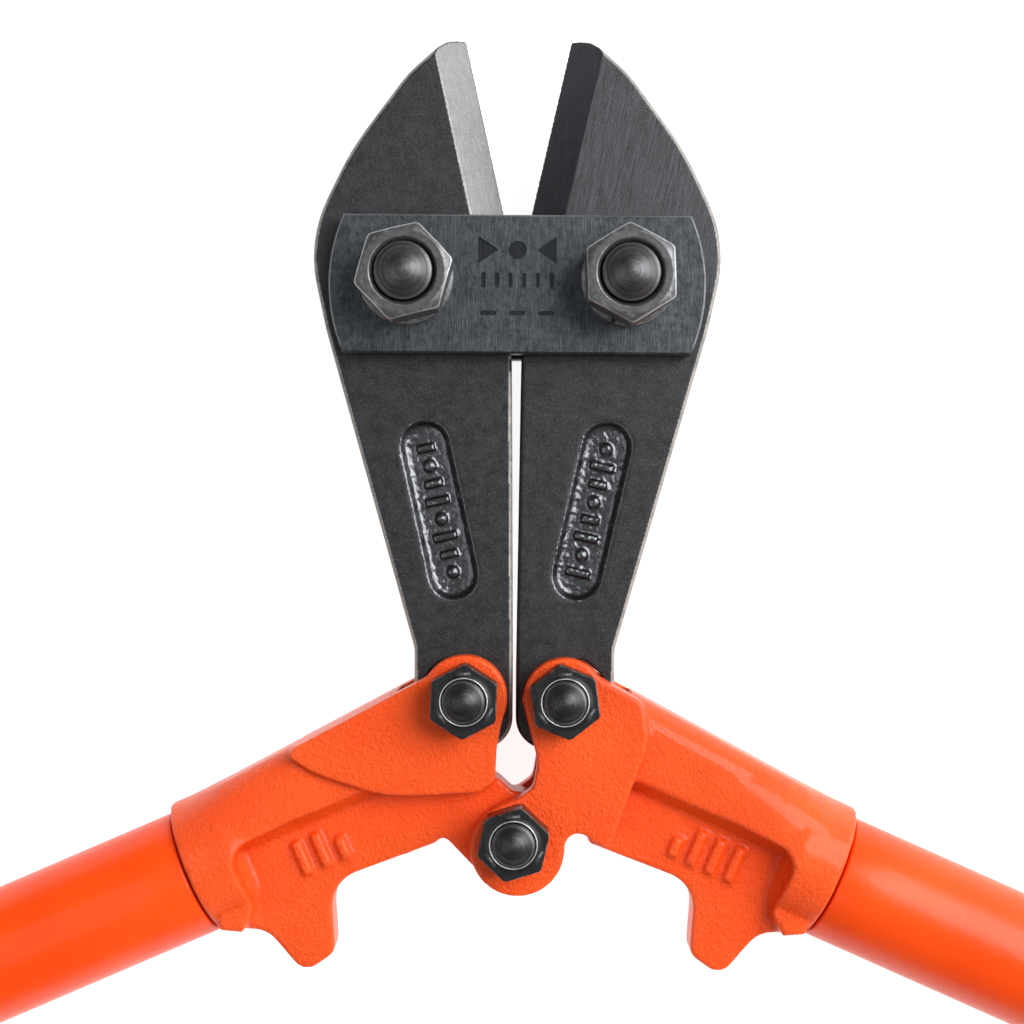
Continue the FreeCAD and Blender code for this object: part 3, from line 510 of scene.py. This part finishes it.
def panel_marks(side):
    """Raised bars and studs in a row along a jaw's panel, on both faces."""
    (x0, y0), (x1, y1) = PANEL_ENDS
    top = JAW_PIVOT[side] + Vector((side * x0, y0, 0))
    end = JAW_PIVOT[side] + Vector((side * x1, y1, 0))
    along = (end - top).normalized()
    turn = math.atan2(along.y, along.x)
    count = 8
    for face in (1, -1):
        for k in range(count):
            at = top.lerp(end, (k + 0.15) / (count - 0.7))
            at.z = LEVEL + face * PANEL_FLOOR
            place = Matrix.Translation(at) @ Matrix.Rotation(turn, 4, "Z")
            if (k + (side > 0)) % 3 == 1:
                yield lambda bm, p=place: add_dome(bm, p, 1.5 * MM, 1.1 * MM)
            else:
                width = (5.2 if k % 2 else 3.8) * MM
                yield lambda bm, p=place, w=width: add_block(bm, p, (1.5 * MM, w, 2.0 * MM))


def slot_end(side):
    """Closes the last of the slot in a jaw's tail, which the bolt never reaches."""
    bolt = middle_of(f"tail_bolt_{SIDE_NAMES[side]}")
    lean = math.radians(90 - side * 40)
    place = Matrix.Translation((bolt.x, bolt.y, LEVEL)) @ Matrix.Rotation(lean, 4, "Z")
    place = place @ Matrix.Translation((9.9 * MM, 0, 0))
    yield lambda bm: add_block(bm, place, (1.5 * MM, 9.6 * MM, 2 * JAW_HALF - 0.2 * MM))


def from_panel(points, side):
    """How far each point lies from a jaw's panel's middle line, seen from above."""
    (x0, y0), (x1, y1) = PANEL_ENDS
    pivot = np.array(JAW_PIVOT[side].xy)
    a, b = pivot + (side * x0, y0), pivot + (side * x1, y1)
    share = np.clip(((points[:, :2] - a) @ (b - a)) / ((b - a) @ (b - a)), 0, 1)
    return np.linalg.norm(points[:, :2] - a - np.outer(share, b - a), axis=1)


def soften_panel(mesh, side):
    """Rounds the panels' walls into their floors, as forging dies leave them."""
    bm = bmesh.new()
    bm.from_mesh(mesh)
    bm.verts.ensure_lookup_table()
    away = from_panel(np.array([v.co for v in bm.verts]), side)
    level = np.abs(np.array([v.co.z for v in bm.verts]) - LEVEL)
    wall = (away > 3.1 * MM) & (away < 6.4 * MM) & (level > JAW_HALF - 3 * MM)
    near = [bm.verts[k] for k in np.nonzero(wall)[0]]
    for _ in range(16):
        bmesh.ops.smooth_vert(bm, verts=near, factor=0.5,
                              use_axis_x=True, use_axis_y=True, use_axis_z=True)
    bm.to_mesh(mesh)
    bm.free()


def paint_jaw(mesh, side):
    """Marks the ground bevels, the blade's faces and the panels' floors for the shader, and
    roughens the forged panels."""
    inward = towards_edge(side)
    pivot = JAW_PIVOT[side]
    slopes = [(inward * JAW_HALF + Vector((0, 0, face * BEVEL_WIDTH))).normalized() for face in (1, -1)]
    points = np.empty(len(mesh.vertices) * 3, np.float32)
    mesh.vertices.foreach_get("co", points)
    points = points.reshape(-1, 3)
    normals = np.empty(len(mesh.vertices) * 3, np.float32)
    mesh.vertex_normals.foreach_get("vector", normals)
    normals = normals.reshape(-1, 3)
    offset = points - np.array(pivot)
    depth = EDGE_REACH - offset @ np.array(inward)
    height = np.abs(points[:, 2] - LEVEL)
    plane_gap = np.abs(height / JAW_HALF - depth / BEVEL_WIDTH) * JAW_HALF
    facing = np.maximum(normals @ np.array(slopes[0]), normals @ np.array(slopes[1]))
    above = offset[:, 1] > -2 * MM
    bare = (plane_gap < 0.35 * MM) & (facing > 0.93) & above
    set_attribute(mesh, "ground", bare)
    flat = np.abs(normals[:, 2]) > 0.9
    set_attribute(mesh, "blade", np.where(flat & above & ~bare, 1.0, 0.0))
    away = from_panel(points, side)
    tilt = np.abs(normals[:, 2])
    outward = side * normals[:, 0] > 0.15
    broken = (tilt > 0.25) & (tilt < 0.93) & ~bare & (away > 7 * MM)
    # rim: the broken edges that face outward, marked for a painted highlight
    rim = broken & outward & (side * offset[:, 0] > -12 * MM)
    if side < 0:  # painted highlight along this jaw's arm's inner edge too, which faces the lamps on the right
        rim |= broken & (normals[:, 0] > 0.3) & (points[:, 0] > -6 * MM) & (offset[:, 1] < -20 * MM)
    set_attribute(mesh, "rim", rim)
    floor = (away < 6.0 * MM) & (height < JAW_HALF - 0.12 * MM)
    set_attribute(mesh, "panel", floor)
    for index in np.nonzero(floor)[0]:
        vertex = mesh.vertices[index]
        lump = noise.noise(vertex.co * 650.0) * 0.26 + noise.noise(vertex.co * 1500.0) * 0.1
        vertex.co.z += math.copysign(lump * MM, vertex.co.z - LEVEL)


def make_jaw(side):
    """A jaw's forging, with its marks, its soft panel and its painted steel."""
    name = SIDE_NAMES[side]
    marks = [*panel_marks(side), *slot_end(side)]
    mesh = forged(f"jaw_{name}_forging", f"jaw_{name}", marks, voxel=0.3 * MM, rounds=3)
    soften_panel(mesh, side)
    paint_jaw(mesh, side)
    # each jaw's paint carries its own painted-light bevel tone
    paint = forged_black(f"forged_black_{name}", side * EDGE_ANGLE, *JAW_GRIND_AND_BEVEL_LIGHT[side])
    piece = show(f"jaw_{name}_forging", mesh, paint)
    settle(piece, f"{name}_jaw", "jaw_steel", f"jaw_{name}")


# ---------------------------------------------------------------- handle ends


def end_axes(side):
    """A handle end's collar, and unit vectors inward along the handle and up across it."""
    start, end = axis_of(f"handle_tube_{SIDE_NAMES[side]}")
    inward = (start - end).normalized()
    upward = Vector((side * abs(inward.y), abs(inward.x), 0))
    return start, inward, upward


def casting_marks(side):
    """A short row of raised bars on each face of a handle end's recessed panel."""
    start, inward, upward = end_axes(side)
    rows = ((-4.6, 8.0), (0.0, 8.0), (4.6, 5.0))
    if side > 0:
        rows = ((-7.0, 8.0), (-2.4, 8.0), (2.2, 8.0), (6.6, 4.6))
    turn = math.atan2(upward.y, upward.x)
    for face in (1, -1):
        for shift, length in rows:
            at = start + inward * (28.0 + shift) * MM - upward * (6.0 + (8.0 - length) / 2) * MM
            at.z = LEVEL + face * RECESS_FLOOR
            place = Matrix.Translation(at) @ Matrix.Rotation(turn, 4, "Z")
            yield lambda bm, p=place, l=length: add_block(bm, p, (l * MM, 2.2 * MM, 3.0 * MM))


def casting_blends(side):
    """The drawn-out shapes of a handle end: the rib runs into the collar, and the recess has
    sloping walls."""
    start, inward, upward = end_axes(side)

    def at(along, up, height):
        return start + (inward * along + upward * up + Vector((0, 0, height))) * MM

    skin = []
    for share in np.linspace(0, 1, 6):
        half, crest, power = 15.0 - 4.5 * share, 15.9 + 2.0 * share, 2 / (2 + 2.2 * share)
        for turn in np.linspace(0, math.pi, 25):
            wide, tall = math.cos(turn), math.sin(turn)
            height = math.copysign(abs(wide) ** power, wide) * half
            skin.append((2.0 + 34.0 * share, max(3.0, 0.95 + (crest - 0.95) * tall ** power), height))
    yield lambda bm: add_hull(bm, [at(*p) for p in skin])
    foot, top = RECESS_FLOOR / MM - 0.2, RIB_HALF / MM - 0.7
    for face in (1, -1):
        roof = [(a, u, face * z) for a in (9.0, 50.0) for u, z in ((0.2, foot), (2.8, foot), (2.8, top))]
        yield lambda bm, c=roof: add_hull(bm, [at(*p) for p in c])
        corners = ((12.3, 2.8, foot), (9.6, 2.8, foot), (9.6, 2.8, top), (12.0, -8.0, foot),
                   (9.6, -8.0, top - 0.6), (9.8, -14.0, foot), (7.0, -13.5, foot), (7.5, -12.5, foot + 1.6))
        wall = [(a, u, face * z) for a, u, z in corners]
        yield lambda bm, c=wall: add_hull(bm, [at(*p) for p in c])
    heel = [(1.5, -11.0, 8.9), (7.5, -11.0, 8.4), (1.5, -13.4, 5.7), (9.2, -17.4, 5.6), (10.5, -12.0, 5.8)]
    yield lambda bm: add_hull(bm, [at(a, u, sign * z) for a, u, z in heel for sign in (1, -1)])


def make_handle_end(side, paint):
    """A handle end's casting, with its marks and its drawn-out blends."""
    name = SIDE_NAMES[side]
    marks = [*casting_marks(side), *casting_blends(side)]
    mesh = forged(f"handle_end_{name}_casting", f"handle_end_{name}", marks, voxel=0.45 * MM, rounds=16)
    piece = show(f"handle_end_{name}_casting", mesh, paint)
    settle(piece, f"{name}_handle", "orange_paint", f"handle_end_{name}")


# ---------------------------------------------------------------- tubes and grips


def in_metres(profile):
    """Plain rings for polar_mesh, from (radius, height) in millimetres."""
    return [(out * MM, up * MM, 0) for out, up in profile]


def make_tube(side, paint):
    """A drawn tube with rounded lips."""
    name = SIDE_NAMES[side]
    start, end = axis_of(f"handle_tube_{name}")
    length = (end - start).length
    outer, inner, gap, lip = 14.12 * MM, 12.2 * MM, 0.55 * MM, 0.5 * MM
    round_off = 0.15 * MM
    rings = [(inner, gap, 0), (outer - lip, gap, 0), (outer - round_off, gap + round_off, 0),
             (outer, gap + lip, 0)]
    steps = 40
    for k in range(1, steps + 1):
        rings.append((outer, gap + lip + (length - 2 * gap - 2 * lip) * k / steps, 0))
    rings += [(outer - lip, length - gap, 0), (inner, length - gap, 0)]
    piece = show(f"handle_tube_{name}_paint", polar_mesh(f"handle_tube_{name}_paint", rings, 128), paint)
    piece.matrix_world = along_axis(start, end)
    settle(piece, f"{name}_handle", "orange_paint", f"handle_tube_{name}")


def fluted_barrel(first, last, base, deepest, count):
    """Rings of a barrel with this many flutes, which fade out at both ends."""

    def flute(out, depth):
        return lambda turn: (out - depth * max(0.0, math.cos(turn * count)) ** 2) * MM

    rings = []
    steps = 44
    for k in range(steps + 1):
        share = k / steps
        depth = deepest * min(1.0, 6 * share, 6 * (1 - share))
        swell = 0.2 * math.sin(math.pi * share)
        rings.append((flute(base + swell, depth), (first + (last - first) * share) * MM, 0))
    return rings


def make_grip(side, rubber):
    """A sleeve with a guard, a fluted barrel between plain bands, and a rounded butt."""
    name = SIDE_NAMES[side]
    start, end = axis_of(f"grip_{name}")
    length = (end - start).length / MM
    inner, neck, band = 14.25, 16.7, 17.15
    inside = [(0, length - 5.0), (inner, length - 5.0)]
    guard = [(inner, 0.3), (18.2, 0.3), (18.9, 0.8), (19.3, 2.0), (19.35, 5.5), (19.2, 7.2), (18.4, 9.2),
             (17.3, 11.6), (neck, 14.5)]
    bands = []
    for k in range(5):
        at = 18.0 + 3.0 * k
        bands += [(neck, at), (band, at + 0.5), (band, at + 1.6), (neck, at + 2.1)]
    butt = [(17.2, 121.0), (17.9, 126.0), (18.4, 130.0), (18.5, length - 7.0), (18.1, length - 4.0),
            (16.9, length - 1.8), (14.5, length - 0.5), (10.0, length - 0.25), (9.2, length - 0.9),
            (0, length - 0.9)]
    barrel = fluted_barrel(first=36.0, last=118.0, base=16.9, deepest=0.75, count=18)
    rings = in_metres(inside + guard + bands) + barrel + in_metres(butt)
    mesh = polar_mesh(f"grip_{name}_rubber", rings, 216, closed=False)
    piece = show(f"grip_{name}_rubber", mesh, rubber)
    piece.matrix_world = along_axis(start, end)
    settle(piece, f"{name}_handle", "grip_rubber", f"grip_{name}")


# ---------------------------------------------------------------- nuts, bolts and washers


def hexagon(flats, turn_by=0.0, corner=0.22 * MM):
    """Radius of a hexagon with softened corners, by angle. A corner points along turn_by."""
    sharp = flats / 2 / math.cos(math.pi / 6)

    def radius(turn):
        local = (turn - turn_by) % (math.pi / 3) - math.pi / 6
        return min(flats / 2 / math.cos(local), sharp - corner)

    return radius


def near_corner(turn_by):
    """1 on the hexagon's upright edges, 0 on its flats."""

    def wear(turn):
        away = abs((turn - turn_by + math.pi / 6) % (math.pi / 3) - math.pi / 6)
        return 1.0 if away < math.radians(1.3) else 0.0

    return wear


def nut_angle(node):
    """Which way a CAD hexagon's corner points."""
    middle = middle_of(node)
    far = max(frame["nodes"][node].data.vertices, key=lambda v: (v.co - middle).xy.length)
    spoke = far.co - middle
    return math.atan2(spoke.y, spoke.x)


def chamfered_hexagon(flats, height, turn_by, low_cut):
    """Rings up the outside of a hexagon whose corners are cut off by a cone: always at the top,
    and at the bottom too where low_cut is 1."""
    side = hexagon(flats, turn_by)
    rim = flats / 2 * 0.955
    slope = math.tan(math.radians(30))
    soft = 0.14 * MM

    def drop(turn):
        return max(0.0, side(turn) - rim) * slope

    def crown_out(turn):
        return max(side(turn) - 3.5 * soft, rim * 0.985)

    def crown_up(turn):
        return height - max(0.0, drop(turn) - 2.5 * soft * slope)

    corner = near_corner(turn_by)
    low = [(rim, 0.0, 0.2), (lambda t: side(t) - soft, lambda t: drop(t) * low_cut, 0.6),
           (side, lambda t: drop(t) * low_cut + soft, corner)]
    body = [(side, height * (0.3 + 0.1 * k), corner) for k in range(4)]
    high = [(side, lambda t: height - drop(t) - 2.5 * soft, corner),
            (side, lambda t: height - drop(t) - soft, 1.0),
            (lambda t: side(t) - soft, lambda t: height - drop(t), 0.75),
            (crown_out, crown_up, 0.25), (rim * 0.98, height, 0.35), (rim * 0.955, height, 0.0)]
    return low + body + high


def jaw_nut(node, body, paint):
    """A heavy hex nut, chamfered at both ends, its bore opened by a counter-chamfer."""
    middle, (low, high) = middle_of(node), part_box(node)
    height = high.z - low.z
    bore, mouth = 6.5 * MM, 7.35 * MM
    rings = [(bore, 0, 0), (bore, height - 1.3 * MM, 0), (mouth - 0.1 * MM, height - 0.12 * MM, 0.1),
             (mouth + 0.1 * MM, height, 0.4), (mouth + 0.35 * MM, height, 0.0)]
    outside = chamfered_hexagon(HALF_INCH["flats"], height, nut_angle(node), low_cut=1.0)
    mesh = polar_mesh(node + "_body", rings + outside[::-1])
    piece = show(node + "_body", mesh, paint)
    piece.location = (middle.x, middle.y, low.z)
    settle(piece, body, "bolt_steel", node)


def stake_nut(node, body, paint, bright):
    """A flat lock nut: a collar ring pressed into its top, held by three punched stakes."""
    middle, (low, high) = middle_of(node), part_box(node)
    height = high.z - low.z
    turn_by = nut_angle(node)
    side, corner, soft = hexagon(THREE_EIGHTHS["flats"], turn_by), near_corner(turn_by), 0.12 * MM
    bore, top = 4.9 * MM, height - 0.12 * MM
    collar = [(bore, 0, 0), (bore, top - 0.5 * MM, 0), (4.92 * MM, top - 0.2 * MM, 0.2),
              (4.97 * MM, top + 0.05 * MM, 1.0), (5.05 * MM, top + 0.11 * MM, 1.0),
              (5.22 * MM, top + 0.1 * MM, 1.0), (5.32 * MM, top, 0.0), (6.4 * MM, top, 0.0)]
    outside = [(lambda t: side(t) - 2.5 * soft, top, 0.0), (lambda t: side(t) - soft, top, 0.55),
               (side, top - soft, 0.55), (side, top - 2.5 * soft, corner), (side, height * 0.5, corner),
               (side, soft, corner), (lambda t: side(t) - soft, 0, 0.3)]
    mesh = polar_mesh(node + "_body", collar + outside)
    piece = show(node + "_body", mesh, paint)
    piece.location = (middle.x, middle.y, low.z)
    settle(piece, body, "bolt_steel", node)
    bm = bmesh.new()
    for k in range(3):
        turn = math.radians(93 + 120 * k)
        place = Matrix.Rotation(turn, 4, "Z") @ Matrix.Translation((6.0 * MM, 0, top + 0.01 * MM))
        add_block(bm, place, (1.0 * MM, 3.5 * MM, 0.2 * MM))
    bmesh.ops.bevel(bm, geom=bm.edges, offset=0.06 * MM, segments=2, affect="EDGES")
    mesh = bpy.data.meshes.new(node + "_stakes")
    bm.to_mesh(mesh)
    bm.free()
    set_attribute(mesh, "wear", [0.3] * len(mesh.vertices))
    stakes = show(node + "_stakes", mesh, bright)
    stakes.location = (middle.x, middle.y, low.z)
    settle(stakes, body, "bolt_steel")


def bolt_place(node):
    """Where a bolt stands: on its joint, or else in the middle of its node."""
    places = {"jaw_bolt_left": JAW_PIVOT[-1], "jaw_bolt_right": JAW_PIVOT[1], "centre_bolt": CENTRE}
    return places.get(node) or middle_of(node)


def make_bolt(node, body, paint, black, radius, flats, head, crown):
    """A bolt: chamfered hex head below, plain shank, and a turned, domed end above."""
    low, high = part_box(node)
    middle = bolt_place(node)
    length = high.z - low.z
    rim, lip = 0.55 * MM, 0.06 * MM
    inner = radius - rim * 1.35
    rings = [(0, head - 0.5 * MM, 0), (radius, head - 0.5 * MM, 0), (radius, length - crown - rim * 1.5, 0.0),
             (radius, length - crown - rim, 0.1), (radius - rim * 0.55, length - crown - rim * 0.3, 0.15),
             (radius - rim, length - crown, 0.05), (inner, length - crown + lip, 0.0)]
    steps = 14
    for k in range(1, steps + 1):
        share = k / steps
        out = inner * (1 - share)
        up = length - crown + lip + (crown - lip) * (1 - (1 - share) ** 2.0)
        rings.append((out if k < steps else 0, up, 0.0))
    mesh = polar_mesh(node + "_shank", rings, 96, closed=False)
    shank = show(node + "_shank", mesh, paint)
    shank.location = (middle.x, middle.y, low.z)
    settle(shank, body, "bolt_steel", node)
    outside = chamfered_hexagon(flats, head, nut_angle(node), low_cut=0.0)
    mesh = polar_mesh(node + "_head", [(0, 0, 0), *outside, (0, head, 0)], closed=False)
    cap = show(node + "_head", mesh, black)
    cap.rotation_euler = (math.pi, 0, 0)
    cap.location = (middle.x, middle.y, low.z + head)
    settle(cap, body, "bolt_steel")


def spring_washer(node, body, paint):
    """A split washer of square wire, its cut ends a little sprung."""
    middle, (low, high) = middle_of(node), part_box(node)
    height = high.z - low.z
    inner, outer, soft = 6.6 * MM, 10.4 * MM, 0.2 * MM
    profile = [(inner, soft), (inner + soft, 0), (outer - soft, 0), (outer, soft), (outer, height - soft),
               (outer - soft, height), (inner + soft, height), (inner, height - soft)]
    bm = bmesh.new()
    wear_layer = bm.verts.layers.float.new("wear")
    steps, gap = 96, math.radians(7)
    loops = []
    for k in range(steps + 1):
        turn = math.radians(250) + gap / 2 + (2 * math.pi - gap) * k / steps
        loop = []
        for out, up in profile:
            skew = (up / height - 0.5) * math.radians(5) * (1 if k in (0, steps) else 0)
            vertex = bm.verts.new((out * math.cos(turn + skew), out * math.sin(turn + skew), up))
            vertex[wear_layer] = 0.8 if out == outer else 0.3
            loop.append(vertex)
        loops.append(loop)
    count = len(profile)
    for a, b in zip(loops, loops[1:]):
        for j in range(count):
            bm.faces.new((a[j], a[(j + 1) % count], b[(j + 1) % count], b[j]))
    bm.faces.new(loops[0])
    bm.faces.new(loops[-1][::-1])
    bmesh.ops.recalc_face_normals(bm, faces=bm.faces)
    mesh = bpy.data.meshes.new(node + "_ring")
    bm.to_mesh(mesh)
    bm.free()
    piece = show(node + "_ring", mesh, paint)
    piece.location = (middle.x, middle.y, low.z)
    settle(piece, body, "bolt_steel", node)


# ---------------------------------------------------------------- link plates


def in_fixed_order(bm, name):
    """A mesh of a bmesh's triangles, listed in the same order on every run."""
    bm.verts.index_update()
    triangles = []
    for face in bm.faces:
        corners = [v.index for v in face.verts]
        first = corners.index(min(corners))
        triangles.append(corners[first:] + corners[:first])
    mesh = bpy.data.meshes.new(name)
    mesh.from_pydata([v.co for v in bm.verts], [], sorted(triangles))
    return mesh


def make_plate(node):
    """The CAD plate itself, with its edges cut back a little to catch the light."""
    bm = bmesh.new()
    bm.from_mesh(copy_of(node, node + "_welded"))
    bmesh.ops.dissolve_limit(bm, angle_limit=math.radians(1), verts=bm.verts, edges=bm.edges)
    edges = [e for e in bm.edges if e.is_manifold and e.calc_face_angle(0) > math.radians(25)]
    bmesh.ops.bevel(bm, geom=edges, offset=0.09 * MM, segments=2, affect="EDGES", clamp_overlap=True)
    bmesh.ops.triangulate(bm, faces=bm.faces)
    mesh = in_fixed_order(bm, node + "_steel")
    bm.free()
    piece = show(node + "_steel", mesh, blued_plate(node + "_blued", middle_of(node)))
    mesh.polygons.foreach_set("use_smooth", [False] * len(mesh.polygons))
    settle(piece, "head", "plate_steel", node)


# ---------------------------------------------------------------- the whole tool

casting_paint = powder_orange("casting_paint", 1.0, 0.4)
tube_paint = tube_orange()
rubber = grip_rubber()
heavy_nut = black_nut("jaw_nut_black", (0.115, 0.117, 0.123), (0.46, 0.46, 0.46), 0.16)
lock_nut = black_nut("lock_nut_black", (0.018, 0.019, 0.021), (0.62, 0.62, 0.61), -0.05)
stake_steel = black_nut("stake_steel", (0.085, 0.086, 0.09), (0.2, 0.2, 0.2), 0.0)
bolt_end = turned_end("turned_bolt_end", (0.115, 0.115, 0.12))
pin_end = turned_end("turned_pin_end", (0.07, 0.07, 0.074))

for side, name in SIDE_NAMES.items():
    make_jaw(side)
    make_handle_end(side, casting_paint)
    make_tube(side, tube_paint)
    make_grip(side, rubber)
    make_bolt(f"jaw_bolt_{name}", "head", bolt_end, heavy_nut, **HALF_INCH)
    jaw_nut(f"jaw_nut_{name}", "head", heavy_nut)
    spring_washer(f"jaw_spring_washer_{name}", "head", heavy_nut)
    make_bolt(f"tail_bolt_{name}", f"{name}_handle", pin_end, lock_nut, **THREE_EIGHTHS)
    stake_nut(f"tail_nut_{name}", f"{name}_handle", lock_nut, stake_steel)
make_bolt("centre_bolt", "centre_pivot", pin_end, lock_nut, **THREE_EIGHTHS)
stake_nut("centre_nut", "centre_pivot", lock_nut, stake_steel)
make_plate("link_plate_front")
make_plate("link_plate_rear")

# ---------------------------------------------------------------- floor, lights and camera


FLOOR_REACH = 30.0


def make_floor():
    """A wide table just under the tool."""
    bm = bmesh.new()
    bmesh.ops.create_grid(bm, x_segments=1, y_segments=1, size=FLOOR_REACH)
    mesh = bpy.data.meshes.new("floor")
    bm.to_mesh(mesh)
    bm.free()
    floor = bpy.data.objects.new("floor", mesh)
    bpy.context.scene.collection.objects.link(floor)
    floor.location.z = cad_box[0][2] - 0.5 * MM
    mesh.materials.append(floor_paper())


def soft_light(name, place, target, size, power):
    """A rectangular lamp at a place, turned to a target. Power in watts."""
    data = bpy.data.lights.new(name, "AREA")
    data.shape, data.size, data.size_y, data.energy = "RECTANGLE", size[0], size[1], power
    made = bpy.data.objects.new(name, data)
    bpy.context.scene.collection.objects.link(made)
    made.location = place
    made.rotation_euler = (Vector(target) - Vector(place)).to_track_quat("-Z", "Y").to_euler()


def light_studio():
    """A low card and a key on the right, a weak fill on the left, and a world brighter on the right."""
    head = (0.0, JAW_PIVOT[1].y - 0.04, LEVEL)
    soft_light("side_card", (0.95, head[1] + 0.24, 0.30), head, (0.9, 0.5), 4.0)
    soft_light("key", (0.75, head[1] + 0.35, 1.0), head, (0.9, 0.9), 19.0)
    soft_light("fill", (-0.8, head[1] - 0.2, 1.1), head, (1.2, 1.2), 5.0)
    world = bpy.data.worlds.new("studio")
    bpy.context.scene.world = world
    world.use_nodes = True
    tree = world.node_tree
    back = tree.nodes["Background"]
    back.inputs["Color"].default_value = (1.0, 1.0, 1.0, 1.0)
    heading = tree.nodes.new("ShaderNodeTexCoord")
    parts = tree.nodes.new("ShaderNodeSeparateXYZ")
    level = tree.nodes.new("ShaderNodeMapRange")
    for key, value in (("From Min", -0.9), ("From Max", 0.9), ("To Min", 0.06), ("To Max", 0.42)):
        level.inputs[key].default_value = value
    tree.links.new(heading.outputs["Generated"], parts.inputs[0])
    tree.links.new(parts.outputs["X"], level.inputs["Value"])
    tree.links.new(level.outputs["Result"], back.inputs["Strength"])


def place_camera():
    """Straight above the head, at the distance that a close product lens stands."""
    data = bpy.data.cameras.new("camera")
    data.lens, data.sensor_width = 70.0, 36.0
    camera = bpy.data.objects.new("camera", data)
    bpy.context.scene.collection.objects.link(camera)
    camera.location = (-0.8 * MM, JAW_PIVOT[1].y - 51.4 * MM, LEVEL + 450 * MM)
    camera.rotation_euler = (0, 0, math.radians(0.4))
    bpy.context.scene.camera = camera


make_floor()
light_studio()
place_camera()
bpy.context.scene.view_settings.view_transform = "Standard"
